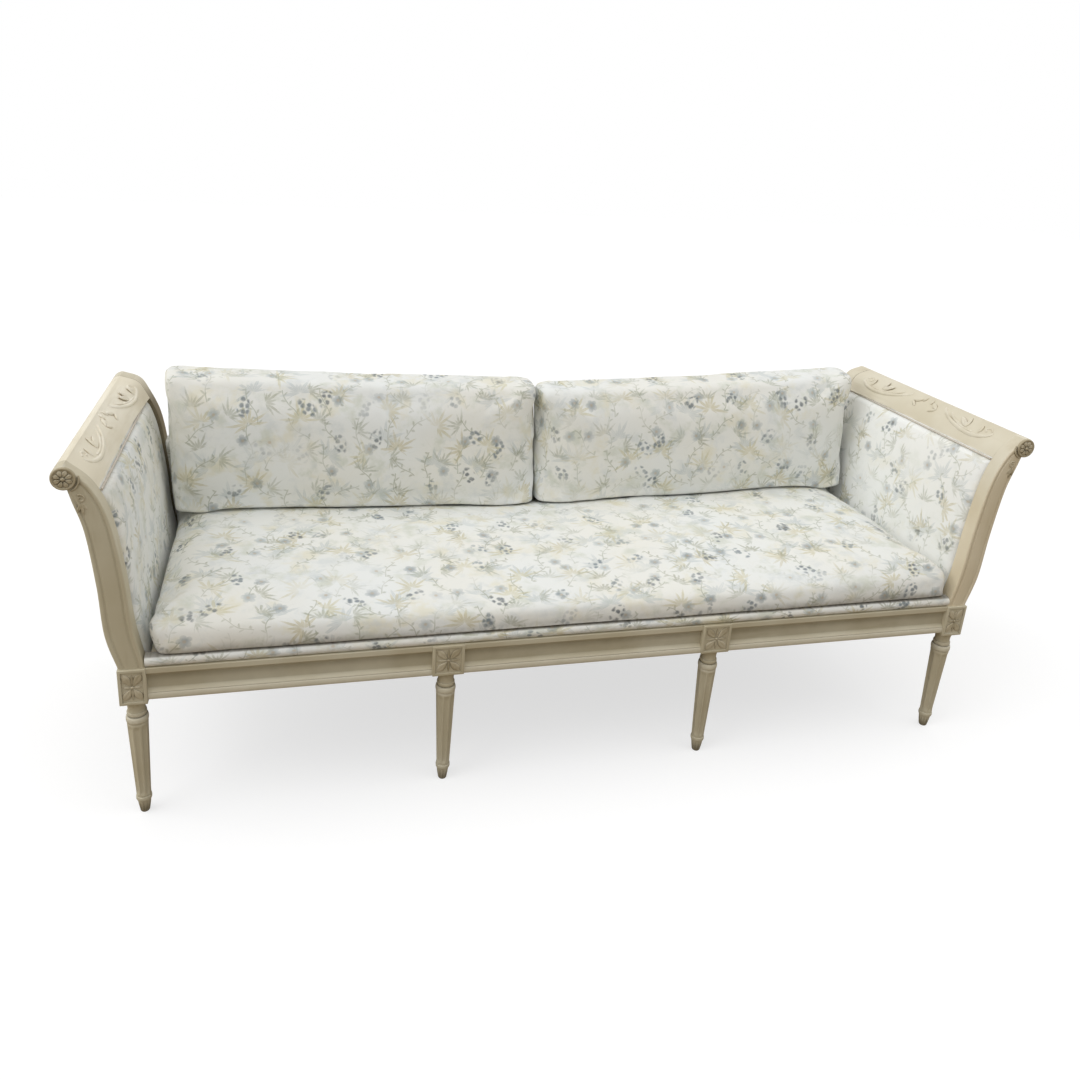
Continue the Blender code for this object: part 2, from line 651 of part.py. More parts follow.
def arm_outer_panel(sign):
    top_offset = along(outer_edge, crest_bottom) - OUTER_PANEL_INSET - OUTER_PANEL_THICKNESS
    top = crest_underside(top_offset) - 2 * FIT_GAP
    stations = 10
    rings = []
    for i in range(stations + 1):
        height = ARM_PAD_BOTTOM + (top - ARM_PAD_BOTTOM) * i / stations
        outside = along(outer_edge, height) - OUTER_PANEL_INSET
        inside = outside - OUTER_PANEL_THICKNESS
        plan = ((inside, crest_start), (outside, crest_start), (outside, crest_end), (inside, crest_end))
        rings.append([(sign * (CORNER_X + px), py, height) for px, py in plan])
    return loft(rings)


stiles = []
for side, sign in SIDES:
    front_name, rear_name = f"arm_stile_front_{side}", f"arm_stile_rear_{side}"
    stiles.append(stile(front_name, sign, front_stile_outline, FRONT_STILE_FACE, FRONT_STILE_BACK, True))
    stiles.append(stile(rear_name, sign, rear_stile_outline, REAR_STILE_FACE, BACK, False))
    hosts = (front_name, rear_name)
    shoulders = (FRONT_STILE_BACK, REAR_STILE_FACE)

    crest = make_object(
        f"arm_crest_{side}", loft([crest_ring(sign, share, flare) for share, flare in CREST_FLARE]), PAINTED_WOOD
    )
    crest_core = (sign * (CORNER_X + SCROLL_OFFSET - CREST_TENON_SIZE / 2), 0.0, SCROLL_HEIGHT)
    size = (CREST_TENON_SIZE, 0.0, CREST_TENON_SIZE)
    join(crest, [
        (tenon(1, shoulder, crest_core, size, CREST_TENON_LENGTH), host)
        for shoulder, host in zip(shoulders, hosts)
    ])

    tack_top = ARM_PAD_BOTTOM + TACK_RAIL_HEIGHT
    tack_inner = along(inner_edge, tack_top) + ARM_PAD_BACKING + FIT_GAP
    tack_outer = along(outer_edge, ARM_PAD_BOTTOM) - OUTER_PANEL_INSET - OUTER_PANEL_THICKNESS - FIT_GAP
    tack_faces = sorted(sign * (CORNER_X + offset) for offset in (tack_inner, tack_outer))
    tack_x = sum(tack_faces) / 2
    tack = make_object(f"arm_tack_rail_{side}", boxes_mesh([(
        (tack_faces[0], crest_start, ARM_PAD_BOTTOM),
        (tack_faces[1], crest_end, tack_top),
    )]), FRAME_WOOD)
    tack_core = (tack_x, 0.0, (ARM_PAD_BOTTOM + tack_top) / 2)
    size = (TENON_THICKNESS, 0.0, TENON_HEIGHT)
    join(tack, [
        (tenon(1, shoulder, tack_core, size, CREST_TENON_LENGTH), host)
        for shoulder, host in zip(shoulders, hosts)
    ])

    make_object(f"arm_pad_{side}", arm_pad(sign), PRINTED_FABRIC)
    make_object(f"arm_outer_panel_{side}", arm_outer_panel(sign), PRINTED_FABRIC)

# Low back: top rail, posts, padded front and covered back
rail_low = BACK_TOP_HEIGHT - BACK_RAIL_HEIGHT
rail_back = BACK_PANEL_FACE - FIT_GAP
ends = [(along(rear_inner_edge, height), height) for height in (rail_low, BACK_TOP_HEIGHT)]
top_rail_outline = [(-CORNER_X - offset + FIT_GAP, height) for offset, height in ends]
top_rail_outline += [(CORNER_X + offset - FIT_GAP, height) for offset, height in ends[::-1]]
top_rail = make_object("back_top_rail", prism_along_y(top_rail_outline, BACK_POST_FACE, rail_back), FRAME_WOOD)
rail_core = ((BACK_POST_FACE + rail_back) / 2, (rail_low + BACK_TOP_HEIGHT) / 2)
join(top_rail, [
    (
        tenon(
            0, sign * (CORNER_X + min(offset for offset, _ in ends)), (0.0, *rail_core),
            (0.0, TENON_THICKNESS, TENON_HEIGHT), TENON_LENGTH,
        ),
        f"arm_stile_rear_{side}",
    )
    for side, sign in SIDES
])
for side, sign in SIDES:
    post_x = sign * MID_X
    make_object(f"back_post_{side}", boxes_mesh([(
        (post_x - BACK_POST_WIDTH / 2, BACK_POST_FACE, RAIL_TOP + FIT_GAP),
        (post_x + BACK_POST_WIDTH / 2, rail_back, rail_low - FIT_GAP),
    )]), FRAME_WOOD)

pad_rear = BACK_POST_FACE - FIT_GAP
back_pad_outline = [
    (pad_rear, DECK_BOTTOM),
    (pad_rear, BACK_TOP_HEIGHT),
    *arc((BACK_PAD_FACE + BACK_PAD_EDGE, BACK_TOP_HEIGHT - BACK_PAD_EDGE), BACK_PAD_EDGE, 90, 180, 4),
    (BACK_PAD_FACE, DECK_BOTTOM),
]


def between_arm_pads(height):
    return CORNER_X + along(inner_edge, max(height, ARM_PAD_BOTTOM)) - ARM_PAD_PROUD - 2 * FIT_GAP


def back_pad_half(height):
    # Straight ends, inside the arm pads at the foot and inside the rear stiles at the top
    share = (height - DECK_BOTTOM) / (BACK_TOP_HEIGHT - DECK_BOTTOM)
    foot = between_arm_pads(DECK_BOTTOM)
    top = CORNER_X + along(rear_inner_edge, BACK_TOP_HEIGHT) - BACK_PAD_END_GAP
    return foot + (top - foot) * share


make_object("back_pad", loft([
    [(sign * back_pad_half(z), y, z) for y, z in back_pad_outline] for _, sign in SIDES
]), PRINTED_FABRIC)
panel_edge = [(offset - FIT_GAP, height) for offset, height in rear_inner_edge if height < BACK_TOP_HEIGHT]
panel_edge.append((along(rear_inner_edge, BACK_TOP_HEIGHT) - FIT_GAP, BACK_TOP_HEIGHT))
make_object(
    "back_outer_panel",
    prism_along_y(
        placed(panel_edge, -1) + placed(panel_edge, 1)[::-1],
        BACK_PANEL_FACE, BACK_PANEL_FACE + BACK_PANEL_THICKNESS,
    ),
    PRINTED_FABRIC,
)

for piece in legs + stiles:
    cut_mortises(piece)

# Seat platform: webbing woven over the rails, padded deck, edge roll and dust cover
strap_start = FRONT + EDGE_ROLL_SETBACK + EDGE_ROLL_DEPTH + FIT_GAP
strap_end = REAR_RAIL_INNER + STRAP_LAP
cross_places = [(i - (CROSS_STRAP_COUNT - 1) / 2) * CROSS_STRAP_PITCH for i in range(CROSS_STRAP_COUNT)]
for i, x in enumerate(cross_places):
    make_object(f"webbing_cross_{i + 1}", boxes_mesh([(
        (x - STRAP_WIDTH / 2, strap_start, STRAP_BOTTOM),
        (x + STRAP_WIDTH / 2, strap_end, STRAP_TOP),
    )]), JUTE_WEBBING)


def woven_path(first_over):
    # Underside of a strap that passes over and under the cross straps in turn
    step_up = STRAP_THICKNESS + FIT_GAP
    half = STRAP_WIDTH / 2 + 4 * STRAP_THICKNESS
    lap = CORNER_X - SIDE_RAIL_THICKNESS / 2
    path = [(-lap - STRAP_LAP, STRAP_BOTTOM), (-lap, STRAP_BOTTOM)]
    for i, x in enumerate(cross_places):
        level = STRAP_BOTTOM + (step_up if (i + first_over) % 2 == 0 else -step_up)
        path += [(x - half, level), (x + half, level)]
    return path + [(lap, STRAP_BOTTOM), (lap + STRAP_LAP, STRAP_BOTTOM)]


seat_middle = (strap_start + REAR_RAIL_INNER) / 2
for i in range(LONG_STRAP_COUNT):
    y = seat_middle + (i - (LONG_STRAP_COUNT - 1) / 2) * LONG_STRAP_PITCH
    low, high = y - STRAP_WIDTH / 2, y + STRAP_WIDTH / 2
    make_object(f"webbing_long_{i + 1}", loft([
        [(x, low, z), (x, high, z), (x, high, z + STRAP_THICKNESS), (x, low, z + STRAP_THICKNESS)]
        for x, z in woven_path(i % 2)
    ]), JUTE_WEBBING)

roll_low, roll_high = RAIL_TOP + FIT_GAP, DECK_TOP
roll_half = CORNER_X - foot_half - FIT_GAP
roll_front = FRONT + EDGE_ROLL_SETBACK
roll_middle = (roll_low + roll_high) / 2
roll_outline = [
    (roll_front + EDGE_ROLL_DEPTH / 2 * (1 - math.cos(a)), roll_middle + EDGE_ROLL_HEIGHT / 2 * math.sin(a))
    for a in (math.pi * (i / 8 - 0.5) for i in range(9))
]
roll_outline += [(roll_front + EDGE_ROLL_DEPTH, roll_high), (roll_front + EDGE_ROLL_DEPTH, roll_low)]
make_object("front_edge_roll", prism_along_x(roll_outline, -roll_half, roll_half), PRINTED_FABRIC)

deck_half = between_arm_pads(ARM_PAD_BOTTOM)
deck_back = BACK_PAD_FACE - FIT_GAP
deck_rings = []
for inset, height in ((0.0, DECK_BOTTOM), (0.0, DECK_TOP - DECK_EDGE), (DECK_EDGE, DECK_TOP)):
    half = deck_half - inset
    low, high = strap_start + inset, deck_back - inset
    deck_rings.append([(-half, low, height), (half, low, height), (half, high, height), (-half, high, height)])
make_object("deck_pad", loft(deck_rings), DECK_CLOTH)


def dust_cover_outline():
    # Inside the rails' outer faces, notched round every leg
    notch_depth = BLOCK_DEPTH + LEG_NOTCH_MARGIN
    side_x = CORNER_X - SIDE_RAIL_THICKNESS / 2 + DUST_COVER_INSET
    corner_x = BLOCK_INNER_X - LEG_NOTCH_MARGIN
    near, far = MID_X - mid_half - LEG_NOTCH_MARGIN, MID_X + mid_half + LEG_NOTCH_MARGIN
    edge = FRONT + RAIL_SETBACK + DUST_COVER_INSET
    back_of_notch = FRONT + notch_depth
    half = [(side_x, back_of_notch), (corner_x, back_of_notch), (corner_x, edge), (far, edge)]
    half += [(far, back_of_notch), (near, back_of_notch), (near, edge)]
    front_edge = half + [(-x, y) for x, y in half[::-1]]
    return front_edge + [(x, -y) for x, y in front_edge[::-1]]


cover_top = LEG_HEIGHT - FIT_GAP
cover_bottom = cover_top - DUST_COVER_THICKNESS
make_object("dust_cover", prism_along_z(dust_cover_outline(), cover_bottom, cover_top), DUST_CLOTH)


# Cushions: crowned faces, rounded edges and sides drawn in between the corners
def cushion_loop(half_a, half_b, inset, pull, pull_bottom):
    # One closed loop of a cushion's plan, seen along its thickness
    a, b = half_a - inset, half_b - inset
    radius = max(CUSHION_CORNER_RADIUS - inset, CUSHION_CORNER_RADIUS / 3)
    corners = ((a - radius, b - radius, 0), (-a + radius, b - radius, 90))
    corners += ((-a + radius, -b + radius, 180), (a - radius, -b + radius, 270))
    loop = []
    for k, (ca, cb, start) in enumerate(corners):
        loop += arc((ca, cb), radius, start, start + 90, 3)
        next_a, next_b, _ = corners[(k + 1) % 4]
        exit_point = loop[-1]
        entry = arc((next_a, next_b), radius, start + 90, start + 90, 1)[0]
        inward = (-math.cos(math.radians(start + 90)), -math.sin(math.radians(start + 90)))
        depth = pull_bottom if k == 2 else pull
        for i in range(1, CUSHION_SIDE_POINTS):
            t = i / CUSHION_SIDE_POINTS
            bow = depth * 4 * t * (1 - t)
            loop.append(tuple(
                p + (q - p) * t + n * bow for p, q, n in zip(exit_point, entry, inward)
            ))
    return loop


def cushion_levels(height, low_crown, high_crown, least_half):
    # Pairs of inset and level from the under face round the edge to the upper face
    edge = min(CUSHION_EDGE_RADIUS, 0.48 * height)
    deep = min(CUSHION_CROWN_REACH, 0.9 * least_half)
    rolled = [
        (edge * (1 - math.cos(turn)), edge * math.sin(turn))
        for turn in (math.radians(a) for a in (0, 22.5, 45, 67.5, 90))
    ]
    crowned = [(edge + (deep - edge) * t, math.sin(math.pi / 2 * t)) for t in (0.25, 0.6, 1.0)]
    upper = [(inset, height - edge + rise) for inset, rise in rolled]
    upper += [(inset, height + high_crown * share) for inset, share in crowned]
    lower = [(inset, edge - rise) for inset, rise in rolled]
    if low_crown:
        lower += [(inset, -low_crown * share) for inset, share in crowned]
    return lower[::-1] + upper


seat_bottom = DECK_TOP + FIT_GAP
seat_length = 2 * (CORNER_X + along(inner_edge, seat_bottom) - ARM_PAD_PROUD - SEAT_CUSHION_SIDE_GAP)
seat_front = FRONT + SEAT_CUSHION_SETBACK
seat_rear = BACK_PAD_FACE - SEAT_CUSHION_REAR_GAP
seat_width = seat_rear - seat_front
seat_rings = []
for inset, level in cushion_levels(SEAT_CUSHION_HEIGHT, 0.0, SEAT_CUSHION_CROWN, seat_width / 2):
    loop = cushion_loop(seat_length / 2, seat_width / 2, inset, SEAT_CUSHION_PULL, SEAT_CUSHION_PULL)
    seat_rings.append([(a, b, level) for a, b in loop])
seat_cushion = make_object("seat_cushion", loft(seat_rings), PRINTED_FABRIC)
seat_cushion.location = (0.0, (seat_front + seat_rear) / 2, seat_bottom)

# The back cushions lean on the low back and stand on the crown of the seat cushion
seat_top = seat_bottom + SEAT_CUSHION_HEIGHT + SEAT_CUSHION_CROWN
cushion_base = seat_top + FIT_GAP
lean = math.tan(math.radians(BACK_CUSHION_LEAN))
back_half_length = (seat_length / 2 - BACK_CUSHION_END_GAP - BACK_CUSHION_MID_GAP / 2) / 2
rear_level = BACK_CUSHION_THICKNESS + BACK_CUSHION_CROWN
rear_at_base = BACK_PAD_FACE - FIT_GAP - lean * (BACK_TOP_HEIGHT - cushion_base)
back_rings = []
for inset, level in cushion_levels(
    BACK_CUSHION_THICKNESS, BACK_CUSHION_CROWN, BACK_CUSHION_CROWN, BACK_CUSHION_HEIGHT / 2
):
    loop = cushion_loop(back_half_length, BACK_CUSHION_HEIGHT / 2, inset, BACK_CUSHION_PULL, 0.0)
    back_rings.append([(a, level - rear_level, b + BACK_CUSHION_HEIGHT / 2) for a, b in loop])
back_rings = [[(x, y + lean * z, z) for x, y, z in ring] for ring in back_rings]
for side, sign in SIDES:
    cushion = make_object(f"back_cushion_{side}", loft(back_rings), PRINTED_FABRIC, seat_cushion)
    place = Vector((sign * (back_half_length + BACK_CUSHION_MID_GAP / 2), rear_at_base, cushion_base))
    cushion.location = place - seat_cushion.location
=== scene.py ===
import math

import bmesh
import bpy
import numpy as np
from mathutils import Matrix, Vector, noise


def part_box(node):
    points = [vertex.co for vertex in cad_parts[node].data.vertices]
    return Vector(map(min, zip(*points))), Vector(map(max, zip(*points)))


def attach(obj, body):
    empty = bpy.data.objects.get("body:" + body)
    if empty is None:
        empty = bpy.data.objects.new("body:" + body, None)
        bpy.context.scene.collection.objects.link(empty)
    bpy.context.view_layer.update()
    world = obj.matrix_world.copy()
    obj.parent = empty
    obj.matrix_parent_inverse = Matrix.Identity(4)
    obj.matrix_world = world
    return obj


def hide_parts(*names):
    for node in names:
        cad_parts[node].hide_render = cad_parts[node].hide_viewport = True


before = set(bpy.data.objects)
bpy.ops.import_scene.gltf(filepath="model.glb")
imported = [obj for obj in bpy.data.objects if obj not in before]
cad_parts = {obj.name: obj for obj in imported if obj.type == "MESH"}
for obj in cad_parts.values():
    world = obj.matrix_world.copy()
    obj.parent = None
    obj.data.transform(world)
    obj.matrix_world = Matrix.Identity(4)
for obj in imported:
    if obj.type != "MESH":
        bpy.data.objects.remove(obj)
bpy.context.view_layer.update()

# sizes that several pieces share, in metres, the same as in the solids
carcass = {
    "front": -0.3535, "back": 0.3535,
    "cornerX": 1.0, "midX": 0.329, "legY": 0.3252,
    "legTop": 0.300, "railTop": 0.377, "cornerDrop": 0.008,
    "blockDepth": 0.0566, "cornerBlock": 0.0566, "midBlock": 0.0734,
    "gap": 0.0003,
}
sides = (("left", -1), ("right", 1))


def addObject(name, data):
    made = bpy.data.objects.new(name, data)
    bpy.context.scene.collection.objects.link(made)
    return made


# camera, light and floor

cameraSpot = {
    "place": (-0.6577, -2.1003, 1.4921),
    "yaw": 0.2403, "pitch": 0.3154, "roll": -0.0551,
    "lens": 30.151, "shift": (0.03274, -0.10917),
}


def placeCamera(spot):
    yaw, pitch, roll = spot["yaw"], spot["pitch"], spot["roll"]
    ahead = Vector((math.sin(yaw) * math.cos(pitch), math.cos(yaw) * math.cos(pitch), -math.sin(pitch)))
    level = Vector((math.cos(yaw), -math.sin(yaw), 0))
    down = ahead.cross(level)
    across = level * math.cos(roll) + down * math.sin(roll)
    upward = level * math.sin(roll) - down * math.cos(roll)
    data = bpy.data.cameras.new("camera")
    data.sensor_width = 36
    data.lens = spot["lens"]
    data.shift_x, data.shift_y = spot["shift"]
    camera = addObject("camera", data)
    turn = Matrix((across, upward, -ahead)).transposed().to_4x4()
    camera.matrix_world = Matrix.Translation(spot["place"]) @ turn
    bpy.context.scene.camera = camera


placeCamera(cameraSpot)


# shader maths: a wire is one output socket, and a graph is one material

def wireMaths(operation, swapped=False):
    def apply(self, other):
        pair = (other, self) if swapped else (self, other)
        return self.graph.math(operation, *pair)
    return apply


class Wire:
    def __init__(self, graph, socket):
        self.graph, self.socket = graph, socket

    def out(self, name):
        return Wire(self.graph, self.socket.node.outputs[name])

    def maths(self, operation, *others):
        return self.graph.math(operation, self, *others)

    def __neg__(self):
        return self.graph.math("MULTIPLY", self, -1)

    def __abs__(self):
        return self.graph.math("ABSOLUTE", self)

    __add__, __radd__ = wireMaths("ADD"), wireMaths("ADD", True)
    __sub__, __rsub__ = wireMaths("SUBTRACT"), wireMaths("SUBTRACT", True)
    __mul__, __rmul__ = wireMaths("MULTIPLY"), wireMaths("MULTIPLY", True)
    __truediv__ = wireMaths("DIVIDE")
    __lt__, __gt__ = wireMaths("LESS_THAN"), wireMaths("GREATER_THAN")


class Graph:
    def __init__(self, tree):
        self.tree = tree
        tree.nodes.clear()

    def node(self, kind, settings=None, sockets=None):
        made = self.tree.nodes.new(kind)
        for key, value in (settings or {}).items():
            setattr(made, key, value)
        for key, value in (sockets or {}).items():
            named = [s for s in made.inputs if s.identifier == key]
            socket = named[0] if named else made.inputs[key]
            if isinstance(value, Wire):
                self.tree.links.new(value.socket, socket)
            else:
                socket.default_value = value
        return Wire(self, next((s for s in made.outputs if s.enabled), None))

    def math(self, operation, *values):
        return self.node("ShaderNodeMath", {"operation": operation}, dict(enumerate(values)))

    def vector(self, operation, *values):
        return self.node("ShaderNodeVectorMath", {"operation": operation}, dict(enumerate(values)))

    def mix(self, share, low, high):
        pair = {"Factor_Float": share, "A_Color": low, "B_Color": high}
        return self.node("ShaderNodeMix", {"data_type": "RGBA"}, pair)

    def ease(self, value, low, high):  # 0 below low, 1 above high, smooth between
        return self.node("ShaderNodeMapRange", {"interpolation_type": "SMOOTHSTEP"},
                         {"Value": value, "From Min": low, "From Max": high})

    def parts(self, vector):
        split = self.node("ShaderNodeSeparateXYZ", None, {0: vector})
        return split.out("X"), split.out("Y"), split.out("Z")

    def noise(self, vector, scale, detail=3.0, rough=0.5):
        return self.node("ShaderNodeTexNoise", None,
                         {"Vector": vector, "Scale": scale, "Detail": detail, "Roughness": rough})

    def bump(self, height, strength, distance):
        sockets = {"Height": height, "Strength": strength, "Distance": distance}
        return self.node("ShaderNodeBump", None, sockets)

    def finish(self, sockets):
        shader = self.node("ShaderNodeBsdfPrincipled", None, sockets)
        self.node("ShaderNodeOutputMaterial", None, {"Surface": shader})


def newGraph(name):
    material = bpy.data.materials.new(name)
    material.use_nodes = True
    return material, Graph(material.node_tree)


def shade(*chart):  # a colour as a paint chart gives it, 0 to 255
    levels = [v / 255 for v in chart]
    return tuple(v / 12.92 if v < 0.0404 else ((v + 0.055) / 1.055) ** 2.4 for v in levels) + (1,)


studio = {
    # power, spread, tilt from overhead and compass turn of each sun, in degrees
    "suns": (("overhead", 0.58, 60, 12, -70), ("left", 1.06, 55, 52, -82), ("right", 0.42, 60, 46, 78)),
    "ambient": 0.545,
    "floorSeen": (0.42, 0.42, 0.42, 1), "floorGlow": (0.64, 0.64, 0.64, 1),
    "floorBounce": (0.28, 0.21, 0.12, 1), "floorHalf": 14,
}


def lightStudio(look):
    scene = bpy.context.scene
    scene.view_settings.view_transform = "Standard"
    for name, power, spread, tilt, turn in look["suns"]:
        sun = bpy.data.lights.new(name, "SUN")
        sun.energy, sun.angle = power, math.radians(spread)
        addObject(name, sun).rotation_euler = (math.radians(tilt), 0, math.radians(turn))
    world = bpy.data.worlds.new("studio")
    world.use_nodes = True
    scene.world = world
    g = Graph(world.node_tree)
    path = g.node("ShaderNodeLightPath")
    seen = path.out("Is Camera Ray").maths("MAXIMUM", path.out("Is Glossy Ray"))
    seen = seen.maths("MAXIMUM", path.out("Is Transmission Ray"))
    level = look["ambient"] + seen * (1 - look["ambient"])
    sky = g.node("ShaderNodeBackground", None, {"Color": (1, 1, 1, 1), "Strength": level})
    g.node("ShaderNodeOutputWorld", None, {"Surface": sky})
    half = look["floorHalf"]
    data = bpy.data.meshes.new("floor")
    corners = [(-half, -half, 0), (half, -half, 0), (half, half, 0), (-half, half, 0)]
    data.from_pydata(corners, [], [(0, 1, 2, 3)])
    floor = addObject("floor", data)
    material, g = newGraph("floor")
    direct = g.node("ShaderNodeLightPath").out("Is Camera Ray")
    g.finish({
        "Base Color": g.mix(direct, look["floorBounce"], look["floorSeen"]),
        "Roughness": 1.0, "Specular IOR Level": 0.0,
        "Emission Color": g.mix(direct, (0, 0, 0, 1), look["floorGlow"]), "Emission Strength": 1.0,
    })
    data.materials.append(material)


lightStudio(studio)
print("camera, light and floor done")


# finishes

paint = {
    "aged": {"cream": shade(204, 197, 174), "greige": shade(193, 184, 158), "streak": shade(172, 161, 132),
             "worn": shade(219, 213, 194), "glaze": shade(84, 74, 54)},
    # a paler copy of the aged paint, for the right stile: painted highlight
    "litAged": {"cream": shade(224, 213, 188), "greige": shade(214, 201, 173), "streak": shade(194, 179, 147),
              "worn": shade(231, 223, 203), "glaze": shade(108, 93, 66)},
    # paler where hands rub; on the right crest and on upper faces of the stiles it is also painted highlight
    "rubbed": {"cream": shade(219, 212, 192), "greige": shade(209, 200, 176), "streak": shade(193, 181, 154),
               "worn": shade(230, 224, 208), "glaze": shade(156, 140, 108)},
    # a paler copy of the paint, for the left crest: painted highlight
    "litPale": {"cream": shade(238, 231, 212), "greige": shade(228, 219, 196),
                 "streak": shade(210, 199, 172), "worn": shade(242, 237, 224), "glaze": shade(166, 150, 117)},
    "shaded": {"cream": shade(146, 135, 110), "greige": shade(130, 119, 95), "streak": shade(108, 97, 75),
               "worn": shade(160, 149, 124), "glaze": shade(58, 48, 33)},
    "carved": {"cream": shade(186, 175, 148), "greige": shade(172, 160, 132), "streak": shade(148, 136, 108),
               "worn": shade(208, 199, 175), "glaze": shade(62, 53, 37)},
}
paintWear = {
    "broad": 5.0, "blotch": 26.0, "strand": 26.0,  # how fine each pattern is
    # front: how far a face turns to the front before the upper tone, a painted highlight, leaves it
    "front": (0.30, 0.75), "streakFrom": (0.52, 0.75), "streakMost": 0.45,
    "hollow": (0.30, 0.92), "glazeMost": 0.85, "edgeReach": 0.004, "edge": (0.35, 0.80), "edgeMost": 0.6,
    "rough": 0.46, "roughVary": 0.16, "bump": (0.25, 0.0006),
}


# antique cream paint, glazed in the hollows and rubbed on the edges; another tone higher up, away from faces
# to the front, as painted highlight; bands of colour by height, some of them painted shade or painted
# highlight
def paintedWood(name, grain, tone="aged", reach=0.014, upper=None, span=(0.60, 0.78), most=1.0, bands=()):
    look, wear = paint[tone], paintWear
    material, g = newGraph(name)
    spot = g.node("ShaderNodeTexCoord").out("Object")
    height = g.parts(spot)[2]
    if upper:  # where hands rub, and painted highlight where light from above falls; not on the face to the front
        toFront = g.ease(-g.parts(g.node("ShaderNodeNewGeometry").out("Normal"))[1], *wear["front"])
        share = g.ease(height, *span) * (1 - toFront) * most
        look = {key: g.mix(share, low, paint[upper][key]) for key, low in look.items()}
    broad = g.noise(spot, wear["broad"], 3.0)
    blotch = g.noise(spot, wear["blotch"], 5.0, 0.6)
    strand = g.noise(g.vector("MULTIPLY", spot, grain), wear["strand"], 4.0, 0.6)
    colour = g.mix(g.ease(broad, 0.35, 0.65), look["cream"], look["greige"])
    colour = g.mix(g.ease(strand, *wear["streakFrom"]) * wear["streakMost"], colour, look["streak"])
    # bands by height: painted shade, painted highlight, or darker towards the floor, as each table gives
    for rise, fall, key, amount in bands:
        within = g.ease(height, *rise) * (1 - g.ease(height, *fall))
        colour = g.mix(within * (0.5 + blotch) * amount, colour, look[key])
    hollow = g.node("ShaderNodeAmbientOcclusion", {"samples": 6, "only_local": True},
                    {"Distance": reach}).out("AO")
    caught = (1 - g.ease(hollow, *wear["hollow"])) * (0.62 + blotch * 0.5)
    colour = g.mix(caught.maths("MINIMUM", wear["glazeMost"]), colour, look["glaze"])
    edge = g.node("ShaderNodeAmbientOcclusion", {"samples": 4, "inside": True, "only_local": True},
                  {"Distance": wear["edgeReach"]}).out("AO")
    rubbed = (1 - g.ease(edge, *wear["edge"])) * g.ease(blotch, 0.42, 0.60)
    g.finish({
        "Base Color": g.mix(rubbed * wear["edgeMost"], colour, look["worn"]),
        "Roughness": wear["rough"] + blotch * wear["roughVary"], "Specular IOR Level": 0.4,
        "Normal": g.bump(strand * 0.6 + blotch * 0.4, *wear["bump"]),
    })
    return material


beech = {"pale": shade(203, 172, 128), "dark": shade(182, 148, 104), "pore": shade(142, 108, 72)}


def beechWood(name, grain):
    material, g = newGraph(name)
    along = g.vector("MULTIPLY", g.node("ShaderNodeTexCoord").out("Object"), grain)
    strand = g.noise(along, 30.0, 5.0, 0.65)
    colour = g.mix(g.ease(g.noise(along, 8.0, 2.0), 0.3, 0.7), beech["pale"], beech["dark"])
    colour = g.mix(g.ease(strand, 0.55, 0.8) * 0.6, colour, beech["pore"])
    g.finish({"Base Color": colour, "Roughness": 0.55 + strand * 0.2, "Normal": g.bump(strand, 0.3, 0.0008)})
    return material


def plainWeave(name, pale, dark, pitch, rough):  # unprinted cloth, woven over and under
    material, g = newGraph(name)
    spot = g.node("ShaderNodeTexCoord").out("Object")
    x, y, _ = g.parts(spot)
    turn = 2 * math.pi / pitch
    over = (x * turn).maths("SINE") * (y * turn).maths("SINE")
    slub = g.noise(spot, 220.0, 3.0)
    broad = g.noise(spot, 9.0, 3.0)
    lift = over * 0.5 + slub * 0.8
    colour = g.mix(g.ease(lift, -0.1, 0.9), dark, pale)
    colour = g.mix(g.ease(broad, 0.45, 0.75) * 0.35, colour, dark)
    g.finish({
        "Base Color": colour, "Roughness": rough + slub * 0.1, "Specular IOR Level": 0.2,
        "Normal": g.bump(lift, 0.4, pitch * 0.3),
    })
    return material


cotton = {
    "ground": shade(237, 237, 232), "warm": shade(232, 230, 220), "cool": shade(229, 233, 233),
    "leafWash": shade(208, 211, 197), "strawWash": shade(226, 221, 198), "mistWash": shade(207, 212, 212),
    "ochre": shade(186, 174, 126), "straw": shade(204, 197, 156),
    "sage": shade(154, 160, 139), "olive": shade(138, 138, 104),
    "mist": shade(170, 181, 183), "slate": shade(118, 131, 139), "berry": shade(86, 94, 100),
    # rust for the eyes of the blossoms; the darkest tone is dust and painted shade for the crease between the
    # seat and the roll
    "rust": shade(192, 170, 134), "dust": shade(106, 99, 86),
    # a near white, mixed in as painted highlight
    "litPale": shade(249, 250, 248),
}


